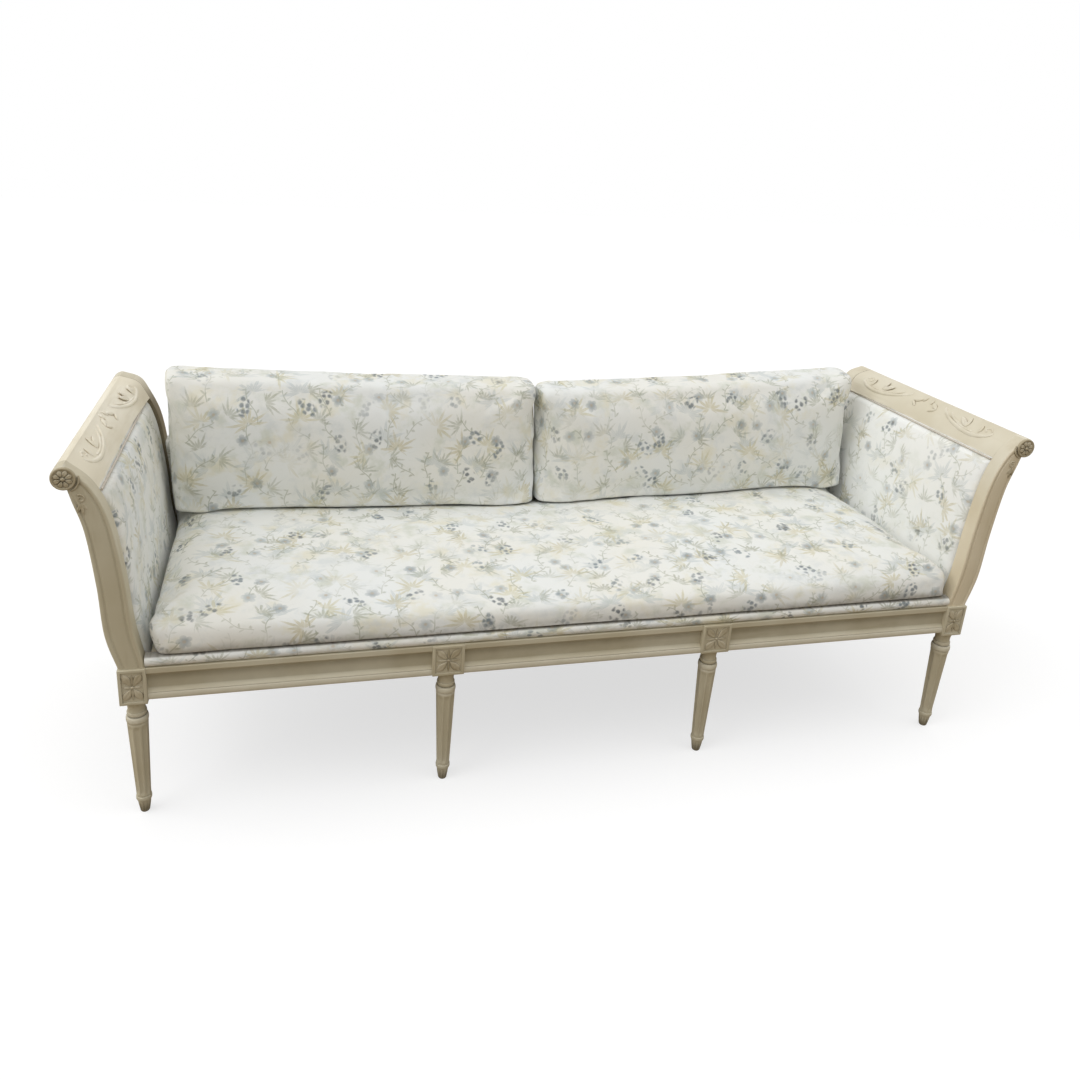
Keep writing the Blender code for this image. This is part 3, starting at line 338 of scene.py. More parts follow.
class Motifs:  # printed layers, each scattered over cells of the cloth's own flat plan
    def __init__(self, graph, plan, rag):
        self.g, self.plan, self.rag = graph, plan, rag

    def cells(self, size, shift, stray, spin, lean):
        g = self.g
        scaled = g.vector("MULTIPLY_ADD", self.plan, (1 / size, 1 / size, 0), (shift, shift * 0.61, 0))
        spots = g.node("ShaderNodeTexVoronoi", {"voronoi_dimensions": "2D", "feature": "F1"},
                       {"Vector": scaled, "Scale": 1.0, "Randomness": stray})
        away = g.vector("SUBTRACT", scaled, spots.out("Position"))
        x, y, _ = g.parts(g.vector("MULTIPLY", away, (size, size, 0)))
        red, green, blue = g.parts(spots.out("Color"))
        turn = (red - 0.5) * spin + lean
        c, s = turn.maths("COSINE"), turn.maths("SINE")
        return x * c + y * s, y * c - x * s, green, blue

    def soften(self, inside):  # a wet, ragged edge; inside is the distance within the outline, in metres
        return self.g.ease(inside + (self.rag - 0.5) * 0.0030, -0.0013, 0.0022)

    def spray(self, x, y, dice, leaves, spread, length, width):  # slender leaves in a fan
        g = self.g
        reach = (x * x + y * y).maths("SQRT")
        angle = y.maths("ARCTAN2", x)
        step = spread / leaves
        number = (angle / step).maths("ROUND")
        off = angle - number * step
        span = length * (0.72 + 0.28 * (number * 1.9 + dice * 6.3).maths("SINE"))
        share = reach * off.maths("COSINE") / span
        aside = abs(reach * off.maths("SINE"))
        half = width * 3.2 * share.maths("POWER", 0.8) * (1 - share).maths("MAXIMUM", 0.0)
        leaf = self.soften(half - aside - 0.0003) * (abs(angle) < spread / 2 + step * 0.3) * (share > 0.06)
        rib = g.ease(aside, 0.0003, 0.0014)
        return leaf * (0.55 + 0.45 * rib)

    def blossom(self, x, y, dice, petals, radius):
        g = self.g
        reach = (x * x + y * y).maths("SQRT")
        angle = y.maths("ARCTAN2", x)
        lobe = abs((angle * (petals / 2)).maths("COSINE")).maths("POWER", 0.6)
        face = self.soften(radius * (0.62 + 0.38 * lobe) - reach)
        veins = 0.42 + 0.58 * g.ease(reach / radius, 0.95, 0.25)
        kept = g.ease(dice, 0.36, 0.38)  # some cells stay empty
        self.eye = (1 - g.ease(reach, radius * 0.12, radius * 0.34)) * kept
        return face * veins * kept

    def twig(self, x, y, dice, length, bend):  # a thin curved stalk with leaflets on alternate sides
        g = self.g
        bow = y - bend * (x * (3.4 / length) + dice * 3.0).maths("SINE")
        inside = abs(x) < length
        stalk = (1 - g.ease(abs(bow), 0.0004, 0.0020)) * inside
        pitch = length * 0.26
        number = (x / pitch).maths("FLOOR")
        side = number.maths("PINGPONG", 1.0) * 2 - 1
        run = x - (number + 0.35) * pitch
        rise = bow * side
        along, across = run * 0.62 + rise * 0.78, rise * 0.62 - run * 0.78
        share = along / (length * 0.36)
        half = length * 0.062 * 4 * share * (1 - share)
        leaf = self.soften(half - abs(across)) * (share > 0) * (share < 1) * inside
        return stalk.maths("MAXIMUM", leaf * 0.85)

    def berries(self, x, y, dice, size, ring):  # small dots kept inside a round cluster
        g = self.g
        scaled = g.vector("MULTIPLY", self.plan, (1 / size, 1 / size, 0))
        dots = g.node("ShaderNodeTexVoronoi", {"voronoi_dimensions": "2D"},
                      {"Vector": scaled, "Scale": 1.0, "Randomness": 0.9})
        dot = 1 - g.ease(dots + (self.rag - 0.5) * 0.3, 0.20, 0.52)
        reach = (x * x * 0.55 + y * y * 1.6).maths("SQRT")
        return dot * (1 - g.ease(reach, ring * 0.7, ring)) * g.ease(dice, 0.42, 0.44)


clothWashes = (("leafWash", 13.0, 3.1, 0.70), ("strawWash", 11.0, 8.7, 0.65), ("mistWash", 15.0, 5.9, 0.45))
clothLayers = (
    # motif, its cells (size, shift, stray, spin, lean), its own sizes, its strength and the tones between
    # which it varies
    ("spray", (0.128, 0.37, 0.70, 1.6, 1.57), (9, 3.4, 0.062, 0.0054), 0.52, ("mist", "mist")),
    ("twig", (0.092, 4.11, 0.80, 2.2, 1.57), (0.048, 0.005), 0.66, ("sage", "olive")),
    ("spray", (0.132, 7.53, 0.72, 2.6, 1.57), (9, 4.0, 0.060, 0.0040), 0.80, ("ochre", "straw")),
    ("spray", (0.108, 2.29, 0.80, 3.0, 1.2), (7, 2.7, 0.054, 0.0032), 0.82, ("olive", "sage")),
    ("blossom", (0.098, 5.83, 0.85, 6.2, 0.0), (5, 0.0175), 0.80, ("slate", "mist")),
    ("berries", (0.112, 9.07, 0.80, 2.0, 1.57), (0.0150, 0.0230), 0.95, ("berry", "slate")),
)
clothWeave = {"pitch": 0.0011, "bump": (0.18, 0.0005), "eyeMost": 0.45}


# pale cotton with a scattered print of leaves, blossoms and berries; dust and painted shade between two
# heights, and a paler ground as painted highlight
def printedCloth(name, dust=None, share=1.0, litPale=0.0):
    material, g = newGraph(name)
    flat = g.node("ShaderNodeUVMap", {"uv_map": "cloth"})
    waver = g.noise(flat, 14.0, 2.0).out("Color")
    plan = g.vector("ADD", flat, g.vector("MULTIPLY_ADD", waver, (0.010, 0.010, 0), (-0.005, -0.005, 0)))
    wash = g.noise(flat, 75.0, 3.0)
    drift = g.ease(g.noise(g.vector("ADD", flat, (4.3, 1.9, 0)), 6.5, 2.0), 0.34, 0.56)
    strength = (0.42 + 0.75 * wash) * (0.25 + 0.75 * drift) * share
    colour = g.mix(g.ease(g.noise(flat, 3.0, 2.0), 0.35, 0.65), cotton["warm"], cotton["cool"])
    colour = g.mix(0.55, colour, cotton["ground"])
    for tone, scale, shift, most in clothWashes:
        cloud = g.noise(g.vector("ADD", plan, (shift, shift, 0)), scale, 4.0, 0.6)
        colour = g.mix(g.ease(cloud, 0.52, 0.70) * most * share, colour, cotton[tone])
    # painted highlight: a paler ground mixed in
    colour = g.mix(litPale, colour, cotton["litPale"])
    motifs = Motifs(g, plan, g.noise(flat, 170.0, 3.0, 0.6))
    for motif, cells, sizes, most, (first, second) in clothLayers:
        x, y, dice, tint = motifs.cells(*cells)
        shape = getattr(motifs, motif)(x, y, dice, *sizes)
        colour = g.mix(shape * strength * most, colour, g.mix(tint, cotton[first], cotton[second]))
        if motif == "blossom":
            colour = g.mix(motifs.eye * clothWeave["eyeMost"], colour, cotton["rust"])
    # dust and painted shade between two heights
    if dust:
        start, end, most = dust
        height = g.parts(g.node("ShaderNodeTexCoord").out("Object"))[2]
        colour = g.mix(g.ease(height, start, end) * (0.6 + 0.8 * wash) * most, colour, cotton["dust"])
    u, v, _ = g.parts(flat)
    turn = 2 * math.pi / clothWeave["pitch"]
    weave = (u * turn).maths("SINE") * (v * turn).maths("SINE")
    slub = g.noise(g.vector("MULTIPLY", flat, (1, 5, 1)), 160.0, 3.0)
    g.finish({
        "Base Color": g.mix(g.ease(slub, 0.5, 0.8) * 0.10, colour, cotton["warm"]),
        "Roughness": 0.80 + slub * 0.12, "Specular IOR Level": 0.18,
        "Sheen Weight": 0.08, "Sheen Roughness": 0.5,
        "Normal": g.bump(weave * 0.4 + slub, *clothWeave["bump"]),
    })
    return material


# heights where a band begins and ends, its colour and its share; on the legs a painted highlight on the
# collar, and darker towards the floor
legBands = (((0.236, 0.244), (0.256, 0.264), "worn", 0.55), ((-0.02, -0.01), (0.002, 0.036), "glaze", 0.70))
# on the front rails: painted shade with glaze under the fillet, and a painted highlight with wear on the
# lower bead
railBands = (((0.320, 0.327), (0.352, 0.360), "glaze", 0.20), ((0.338, 0.352), (0.356, 0.362), "glaze", 0.18),
             ((0.29, 0.30), (0.314, 0.322), "worn", 0.70))
paintGrain = {"X": (0.12, 1.0, 1.0), "Y": (1.0, 0.12, 1.0), "Z": (1.0, 1.0, 0.12), "none": (1.0, 1.0, 1.0)}
paintAcross = paintedWood("cream_paint_across", paintGrain["X"])
paintDeep = paintedWood("cream_paint_deep", paintGrain["Y"])
paintUpright = paintedWood("cream_paint_upright", paintGrain["Z"], bands=legBands)
# the front rails reach further for glaze in the hollows, which adds painted shade under the fillet
paintRail = paintedWood("cream_paint_rail", paintGrain["X"], "aged", 0.022, bands=railBands)
# each arm's crest in its own copy of the paint: painted light as it falls on that side
paintCrest = {
    "left": paintedWood("cream_paint_lit_pale", paintGrain["Y"], "litPale", 0.009),
    "right": paintedWood("cream_paint_rubbed", paintGrain["Y"], "rubbed", 0.009),
}
# the right stile paler, the left one with half of the upper tone: painted light as it falls on each side
paintStile = {
    "left": paintedWood("cream_paint_stile_left", paintGrain["Z"], "aged", 0.014, "rubbed", most=0.5),
    "right": paintedWood("cream_paint_stile_right", paintGrain["Z"], "litAged", 0.014, "rubbed"),
}
# painted shade beside the cushions, and deeper glaze in the carving
paintShaded = paintedWood("cream_paint_shaded", paintGrain["Z"], "shaded", 0.014, "rubbed", (0.755, 0.805))
paintCarved = paintedWood("cream_paint_carved", paintGrain["none"], "carved", 0.016)
printCloth = printedCloth("printed_cotton")
# painted highlight: the right pad paler, with less print
printArm = {"left": printCloth, "right": printedCloth("printed_cotton_lit_pale", None, 0.90, 0.50)}
# dust and painted shade in the crease between the seat and the roll: the seat darker towards its bottom, the
# roll towards its top
printSeat = printedCloth("printed_cotton_seat", (0.430, 0.408, 0.42))
printRoll = printedCloth("printed_cotton_roll", (0.3980, 0.4012, 0.75))
beechAcross = beechWood("beech_across", (0.08, 1.0, 1.0))
beechDeep = beechWood("beech_deep", (1.0, 0.08, 1.0))
beechUpright = beechWood("beech_upright", (1.0, 1.0, 0.08))
jute = plainWeave("jute_webbing_weave", shade(196, 164, 112), shade(128, 98, 60), 0.0042, 0.85)
# a cotton darker than the cover: painted shade on the cord under the crest
weltCotton = plainWeave("welt_cotton", shade(222, 216, 205), shade(186, 176, 162), 0.0014, 0.85)
deckCotton = plainWeave("deck_cotton", shade(222, 214, 196), shade(192, 182, 160), 0.0016, 0.85)
blackCambric = plainWeave("black_cambric", shade(42, 41, 40), shade(18, 18, 18), 0.0018, 0.9)
print("finishes done")


# mesh helpers

def dress(piece, node, body="frame"):  # the body it rides on and the solid it stands for, which it hides
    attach(piece, body)
    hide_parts(node)


def addMesh(name, data, material, sharp, turnOut=True, weld=False):
    if turnOut:
        shell = bmesh.new()
        shell.from_mesh(data)
        if weld:
            bmesh.ops.remove_doubles(shell, verts=shell.verts, dist=1e-6)
        bmesh.ops.recalc_face_normals(shell, faces=shell.faces)
        shell.to_mesh(data)
        shell.free()
    data.shade_smooth()
    data.set_sharp_from_angle(angle=math.radians(sharp))
    data.materials.clear()
    data.materials.append(material)
    return addObject(name, data)


def addShell(name, shell, material, sharp, turnOut=True):
    data = bpy.data.meshes.new(name)
    shell.to_mesh(data)
    shell.free()
    return addMesh(name, data, material, sharp, turnOut)


# joins rings of equal count; closed rings are capped at both ends
def loft(name, rings, material, sharp, closed=True, weld=False):
    count = len(rings[0])
    points = [p for ring in rings for p in ring]
    faces = []
    around = count if closed else count - 1
    for r in range(len(rings) - 1):
        for i in range(around):
            j = (i + 1) % count
            faces.append((r * count + i, r * count + j, (r + 1) * count + j, (r + 1) * count + i))
    if closed:
        last = (len(rings) - 1) * count
        faces.append(tuple(reversed(range(count))))
        faces.append(tuple(range(last, last + count)))
    data = bpy.data.meshes.new(name)
    data.from_pydata([tuple(p) for p in points], [], faces)
    data.validate()
    return addMesh(name, data, material, sharp, weld=weld)


def bake(piece):  # modifiers into a plain mesh
    bpy.context.view_layer.update()
    seen = piece.evaluated_get(bpy.context.evaluated_depsgraph_get())
    return bpy.data.meshes.new_from_object(seen)


def settle(piece):
    data = bake(piece)
    old = piece.data
    piece.modifiers.clear()
    piece.data = data
    bpy.data.meshes.remove(old)


def thicken(piece, thickness):
    change = piece.modifiers.new("thickness", "SOLIDIFY")
    change.thickness, change.offset = thickness, 0
    settle(piece)


def removePiece(piece):
    old = piece.data
    bpy.data.objects.remove(piece)
    bpy.data.meshes.remove(old)


def joinPieces(name, pieces):
    shell = bmesh.new()
    slots = []
    for piece in pieces:
        offset = len(slots)
        slots += list(piece.data.materials)
        start = len(shell.faces)
        shell.from_mesh(piece.data)
        shell.faces.ensure_lookup_table()
        for face in shell.faces[start:]:
            face.material_index += offset
    data = bpy.data.meshes.new(name)
    shell.to_mesh(data)
    shell.free()
    for material in slots:
        data.materials.append(material)
    for piece in pieces:
        removePiece(piece)
    return addObject(name, data)


def boxShell(low, high, edge, segments):
    shell = bmesh.new()
    bmesh.ops.create_cube(shell, size=1)
    for v in shell.verts:
        v.co = [(a + b) / 2 + c * (b - a) for a, b, c in zip(low, high, v.co)]
    bmesh.ops.bevel(shell, geom=shell.edges[:], offset=edge, segments=segments, profile=0.5, affect="EDGES")
    return shell


def smoothCurve(points, steps):  # through every point, as a bent spline does
    first = [2 * a - b for a, b in zip(points[0], points[1])]
    last = [2 * a - b for a, b in zip(points[-1], points[-2])]
    line = [first, *points, last]
    curve = []
    for p0, p1, p2, p3 in zip(line, line[1:], line[2:], line[3:]):
        for step in range(steps):
            t = step / steps
            curve.append(tuple(
                b + (c - a) * t / 2 + (a - 2.5 * b + 2 * c - d / 2) * t**2
                + (1.5 * (b - c) + (d - a) / 2) * t**3
                for a, b, c, d in zip(p0, p1, p2, p3)))
    curve.append(tuple(points[-1]))
    return curve


def bow(centre, radius, start, end, steps):
    turns = [math.radians(start + (end - start) * i / steps) for i in range(steps + 1)]
    return [(centre[0] + radius * math.cos(a), centre[1] + radius * math.sin(a)) for a in turns]


def offsetAt(curve, height):
    for (x0, z0), (x1, z1) in zip(curve, curve[1:]):
        if z0 <= height <= z1:
            return x0 + (x1 - x0) * (height - z0) / (z1 - z0)
    return curve[0][0] if height < curve[0][1] else curve[-1][0]


def eased(t):
    t = min(max(t, 0.0), 1.0)
    return t * t * (3 - 2 * t)


def rounded(away, radius):  # 0 at an edge and 1 beyond the radius, along a quarter of a circle
    return math.sqrt(max(0.0, 1 - max(0.0, 1 - away / radius) ** 2))


def quarterTurn(steps):
    return [math.pi / 2 * i / steps for i in range(steps + 1)]


# node trees: a round ridge along a path, carved leaves on points, flutes round a turning

def newTree(name, inputs):
    tree = bpy.data.node_groups.new(name, "GeometryNodeTree")
    tree.interface.new_socket("Geometry", in_out="INPUT", socket_type="NodeSocketGeometry")
    for label, kind in inputs:
        tree.interface.new_socket(label, in_out="INPUT", socket_type="NodeSocket" + kind)
    tree.interface.new_socket("Geometry", in_out="OUTPUT", socket_type="NodeSocketGeometry")
    g = Graph(tree)
    start = g.node("NodeGroupInput")
    return tree, g, start


def closeTree(g, geometry, material):
    solid = g.node("GeometryNodeRealizeInstances", None, {"Geometry": geometry})
    done = g.node("GeometryNodeSetMaterial", None, {"Geometry": solid, "Material": material})
    g.node("NodeGroupOutput", None, {"Geometry": done})


def useTree(piece, tree, values):
    change = piece.modifiers.new(tree.name, "NODES")
    change.node_group = tree
    for item in tree.interface.items_tree:
        if item.in_out == "INPUT" and item.name in values:
            change[item.identifier] = values[item.name]
    settle(piece)
    piece.data.shade_smooth()
    return piece


def ridgeTree():
    tree, g, start = newTree("ridge", [("Sides", "Int"), ("Material", "Material")])
    radius = g.node("GeometryNodeInputNamedAttribute", {"data_type": "FLOAT"}, {"Name": "thick"})
    curve = g.node("GeometryNodeMeshToCurve", None, {"Mesh": start.out("Geometry")})
    curve = g.node("GeometryNodeSetCurveRadius", None, {"Curve": curve, "Radius": radius})
    ring = g.node("GeometryNodeCurvePrimitiveCircle", None, {"Resolution": start.out("Sides"), "Radius": 1.0})
    cord = g.node("GeometryNodeCurveToMesh", None, {
        "Curve": curve, "Profile Curve": ring, "Fill Caps": True, "Scale": radius})
    closeTree(g, cord, start.out("Material"))
    return tree


def scatterTree():
    tree, g, start = newTree("carved_leaves", [("Leaf", "Object"), ("Material", "Material")])
    aim, along, grow = (
        g.node("GeometryNodeInputNamedAttribute", {"data_type": "FLOAT_VECTOR"}, {"Name": label})
        for label in ("aim", "along", "grow"))
    turn = g.node("FunctionNodeAxesToRotation", {"primary_axis": "Z", "secondary_axis": "X"},
                  {"Primary Axis": aim, "Secondary Axis": along})
    leaf = g.node("GeometryNodeObjectInfo", None,
                  {"Object": start.out("Leaf"), "As Instance": True}).out("Geometry")
    spots = g.node("GeometryNodeInstanceOnPoints", None, {
        "Points": start.out("Geometry"), "Instance": leaf, "Rotation": turn, "Scale": grow})
    closeTree(g, spots, start.out("Material"))
    return tree


def fluteTree():
    sizes = ("Count", "Depth", "Share", "Low", "High", "Round", "Axis X", "Axis Y")
    tree, g, start = newTree("flutes", [*((size, "Float") for size in sizes), ("Material", "Material")])
    x, y, z = g.parts(g.node("GeometryNodeInputPosition"))
    dx, dy = x - start.out("Axis X"), y - start.out("Axis Y")
    sector = dy.maths("ARCTAN2", dx) * start.out("Count") / (2 * math.pi)
    off = abs(sector - sector.maths("ROUND"))
    hollow = (1 - (off / start.out("Share")).maths("POWER", 2.0)).maths("MAXIMUM", 0.0).maths("SQRT")
    rise = ((z - start.out("Low")) / start.out("Round")).maths("MINIMUM", 1.0).maths("MAXIMUM", 0.0)
    fall = ((start.out("High") - z) / start.out("Round")).maths("MINIMUM", 1.0).maths("MAXIMUM", 0.0)
    ends = (rise * fall).maths("SQRT")
    reach = (dx * dx + dy * dy).maths("SQRT")
    shrink = -1 * hollow * ends * start.out("Depth") / reach.maths("MAXIMUM", 0.001)
    shift = g.node("ShaderNodeCombineXYZ", None, {"X": dx * shrink, "Y": dy * shrink, "Z": 0.0})
    cut = g.node("GeometryNodeSetPosition", None, {"Geometry": start.out("Geometry"), "Offset": shift})
    closeTree(g, cut, start.out("Material"))
    return tree


ridges, leaves, flutes = ridgeTree(), scatterTree(), fluteTree()


def ridge(name, paths, material, sides):  # each path is a list of (point, radius)
    points, links, thick = [], [], []
    for path in paths:
        start = len(points)
        points += [tuple(p) for p, _ in path]
        thick += [r for _, r in path]
        links += [(start + i, start + i + 1) for i in range(len(path) - 1)]
    data = bpy.data.meshes.new(name)
    data.from_pydata(points, links, [])
    data.attributes.new("thick", "FLOAT", "POINT").data.foreach_set("value", thick)
    return useTree(addObject(name, data), ridges, {"Sides": sides, "Material": material})


def scatter(name, template, spots, material):  # each spot is (point, outward, along, size)
    data = bpy.data.meshes.new(name)
    data.from_pydata([tuple(s[0]) for s in spots], [], [])
    for label, k in (("aim", 1), ("along", 2), ("grow", 3)):
        values = [c for s in spots for c in s[k]]
        data.attributes.new(label, "FLOAT_VECTOR", "POINT").data.foreach_set("vector", values)
    return useTree(addObject(name, data), leaves, {"Leaf": template, "Material": material})


def carvedLeaf(name, tip, dent):  # unit leaf along X, from 0 to 1, half a unit wide, rising along Z
    rows, cols = 12, 8
    rings = []
    for i in range(rows + 1):
        t = i / rows
        half = 0.5 * math.sin(math.pi * min(1, t ** tip)) ** 0.75 if 0 < t < 1 else 0.0
        crest = math.sin(math.pi * min(1.0, 0.08 + 0.90 * t)) ** 0.6
        ring = []
        for j in range(cols + 1):
            w = 2 * j / cols - 1
            rise = (1 - w * w) ** 0.6 * crest - dent * math.exp(-(w / 0.22) ** 2) * crest
            ring.append((t, w * half, rise - 0.15))
        rings.append(ring)
    piece = loft(name, rings, paintDeep, 80, closed=False)
    shell = bmesh.new()
    shell.from_mesh(piece.data)
    bmesh.ops.remove_doubles(shell, verts=shell.verts, dist=1e-5)
    bmesh.ops.holes_fill(shell, edges=[e for e in shell.edges if e.is_boundary])
    bmesh.ops.recalc_face_normals(shell, faces=shell.faces)
    shell.to_mesh(piece.data)
    shell.free()
    piece.data.shade_smooth()
    return piece


petal = carvedLeaf("petal_pattern", 1.35, 0.30)
leaf = carvedLeaf("leaf_pattern", 0.85, 0.35)
bud = carvedLeaf("bud_pattern", 1.0, 0.0)
print("patterns for the carving done")


# legs: turned, fluted at the front, with a square block at rail height

legLook = {
    "rounds": 120, "flutes": 8.0, "fluteDepth": 0.0024, "fluteShare": 0.37,
    "fluteLow": 0.0505, "fluteDrop": 0.0625, "fluteRound": 0.008,
    # where the reeds at the toe begin and end, each with the length over which they fade
    "toeReeds": 10, "toeReedDepth": 0.0018, "toeReedLow": (0.002, 0.006), "toeReedHigh": (0.0315, 0.004),
    "panelMargin": 0.0062, "panelSlope": 0.0012, "panelDepth": 0.0022, "blockEdge": 0.0016,
    "petalRise": 0.0034, "petalWidth": 0.0190, "petalReach": 0.90,
    "ribRise": 0.0028, "ribWidth": 0.0062, "ribReach": 0.92, "hub": 0.003, "button": (0.0084, 0.0084, 0.0034),
}


def legProfile(top):  # height and radius from the floor to the block
    def bead(middle, width, low, high, full, steps=8):
        return [(middle + width / 2 * math.sin(a), low + (full - low) * max(0.0, math.cos(a)) ** 0.55 if a < 0
                 else high + (full - high) * max(0.0, math.cos(a)) ** 0.55)
                for a in (math.pi * (i / steps - 0.5) for i in range(steps + 1))]

    line = [(0.0, 0.0085), (0.0008, 0.0092), (0.0022, 0.0100), (0.006, 0.0108), (0.012, 0.0118),
            (0.018, 0.0128), (0.024, 0.0136), (0.029, 0.0142), (0.0318, 0.0142)]
    line += bead(0.038, 0.0115, 0.0140, 0.0148, 0.0168)
    line += [(0.0445, 0.0149), (0.0470, 0.0153)]
    low, high = (0.0490, 0.0154), (top - 0.060, 0.0220)
    line += [tuple(a + (b - a) * i / 60 for a, b in zip(low, high)) for i in range(61)]
    line += [(top - 0.0575, 0.0219), (top - 0.0550, 0.0212)]
    line += bead(top - 0.0465, 0.0150, 0.0210, 0.0186, 0.0234)
    line += [(top - 0.0382, 0.0184), (top - 0.0370, 0.0184)]
    line += bead(top - 0.0325, 0.0090, 0.0184, 0.0184, 0.0207)
    flare = ((0.0270, 0.0182), (0.0220, 0.0182), (0.0170, 0.0184), (0.0130, 0.0189), (0.0095, 0.0198),
             (0.0065, 0.0212), (0.0040, 0.0228), (0.0022, 0.0241), (0.0010, 0.0249), (-0.0004, 0.0252))
    return line + [(top - drop, radius) for drop, radius in flare]


def legBlock(name, x, y, width, low, panels):
    look, deep = legLook, carcass["blockDepth"]
    bottom = (x - width / 2, y - deep / 2, low)
    shell = boxShell(bottom, (x + width / 2, y + deep / 2, carcass["railTop"]), look["blockEdge"], 3)
    insets = ((look["panelMargin"] - look["blockEdge"], 0.0), (look["panelSlope"], -look["panelDepth"]))
    for nx, ny in panels:
        face = max(shell.faces, key=lambda f: f.calc_area() * (f.normal.dot(Vector((nx, ny, 0))) > 0.99))
        for inward, depth in insets:
            bmesh.ops.inset_region(shell, faces=[face], thickness=inward, depth=depth, use_even_offset=True)
    return addShell(name, shell, paintUpright, 30)


# four petals crosswise, four thin ribs between them, one button
def blockCarving(name, x, y, width, low, normal):
    nx, ny = normal
    look, deep, high = legLook, carcass["blockDepth"], carcass["railTop"]
    out, flat, up = Vector((nx, ny, 0)), Vector((-ny, nx, 0)), Vector((0, 0, 1))
    reach, depth = (width, deep) if nx == 0 else (deep, width)
    middle = Vector((x, y, (low + high) / 2)) + out * (depth / 2 - look["panelDepth"])
    rim = look["panelMargin"] + look["panelSlope"]
    halfWide, halfTall = reach / 2 - rim, (high - low) / 2 - rim
    petals, ribs = [], []
    for sx in (-1, 1):
        for sz in (-1, 1):
            run = flat * (sx * halfWide) + up * (sz * halfTall)
            size = (run.length * look["petalReach"] - look["hub"], look["petalWidth"], look["petalRise"])
            petals.append((middle + run.normalized() * look["hub"], out, run.normalized(), size))
    for run, long in ((flat, halfWide), (-flat, halfWide), (up, halfTall), (-up, halfTall)):
        size = (long * look["ribReach"] - look["hub"], look["ribWidth"], look["ribRise"])
        ribs.append((middle + run * look["hub"], out, run, size))
    button = [(middle - flat * look["button"][0] / 2, out, flat, look["button"])]
    groups = (("petals", petal, petals), ("ribs", leaf, ribs), ("button", bud, button))
    return [scatter(f"{name}_{label}", template, spots, paintCarved) for label, template, spots in groups]


def turnedLeg(name, x, y, width, top, fluted, panels):
    look = legLook
    turns = [2 * math.pi * i / look["rounds"] for i in range(look["rounds"])]
    (low, rise), (high, fall) = look["toeReedLow"], look["toeReedHigh"]
    rings = []
    for z, r in legProfile(top):
        reeded = look["toeReedDepth"] * eased((z - low) / rise) * eased((high - z) / fall) if fluted else 0.0
        dips = [r - reeded * (0.5 - 0.5 * math.cos(look["toeReeds"] * a)) ** 2 for a in turns]
        rings.append([(x + dip * math.cos(a), y + dip * math.sin(a), z) for dip, a in zip(dips, turns)])
    shaft = loft(name + "_shaft", rings, paintUpright, 60)
    if fluted:
        useTree(shaft, flutes, {
            "Count": look["flutes"], "Depth": look["fluteDepth"], "Share": look["fluteShare"],
            "Low": look["fluteLow"], "High": top - look["fluteDrop"], "Round": look["fluteRound"],
            "Axis X": x, "Axis Y": y, "Material": paintUpright})
    pieces = [shaft, legBlock(name + "_block", x, y, width, top, panels)]
    for k, normal in enumerate(panels):
        pieces += blockCarving(f"{name}_carving{k}", x, y, width, top, normal)
    dress(joinPieces(name + "_turned", pieces), name)


cornerTop, midTop = carcass["legTop"] - carcass["cornerDrop"], carcass["legTop"]
for side, sign in sides:
    corner = (carcass["cornerBlock"], cornerTop)
    mid = (carcass["midBlock"], midTop)
    cornerX, midX, legY = sign * carcass["cornerX"], sign * carcass["midX"], carcass["legY"]
    turnedLeg(f"front_leg_{side}", cornerX, -legY, *corner, True, [(0, -1), (sign, 0)])
    turnedLeg(f"front_leg_mid_{side}", midX, -legY, *mid, True, [(0, -1)])
    turnedLeg(f"rear_leg_{side}", cornerX, legY, *corner, False, [])
    turnedLeg(f"rear_leg_mid_{side}", midX, legY, *mid, False, [])
print("legs done")


# seat rails

railLook = {
    "setback": 0.0035, "thickness": 0.034, "sideThickness": 0.030, "edge": 0.0015,
    "bead": 0.0155, "beadFull": 0.30, "quirk": 0.0018, "lip": 0.0012, "slope": 0.0105, "band": 0.0085,
    "cove": 0.0125, "fillet": 0.0130, "proud": 0.0004, "arris": 0.0008, "steps": 12,
}


def frontRailOutline():  # depth behind the face and height: bead, slope, flat band, cove and fillet
    look, tall = railLook, carcass["railTop"] - carcass["legTop"]
    bead, band, quirk, lip = look["bead"], look["band"], look["quirk"], look["lip"]
    line = [(bead / 2 * (1 - math.sin(a)) * look["beadFull"], bead / 2 * (1 - math.cos(a)))
            for a in (math.pi * i / 12 for i in range(13))]
    slope = look["slope"] - lip
    line += [(quirk + (band - quirk) * eased(i / 6), bead + lip + slope * i / 6) for i in range(7)]
    fillet = tall - look["fillet"]
    line += [(band * math.cos(a), fillet - look["cove"] * (1 - math.sin(a))) for a in quarterTurn(10)]
    line += [(-look["proud"], fillet + look["arris"]), (-look["proud"], tall - lip), (look["arris"], tall)]
    return line + [(look["thickness"], tall), (look["thickness"], 0.0)]


def planedRail(name, low, high, material):
    rail = addShell(name + "_planed", boxShell(low, high, railLook["edge"], 2), material, 50)
    dress(rail, name)


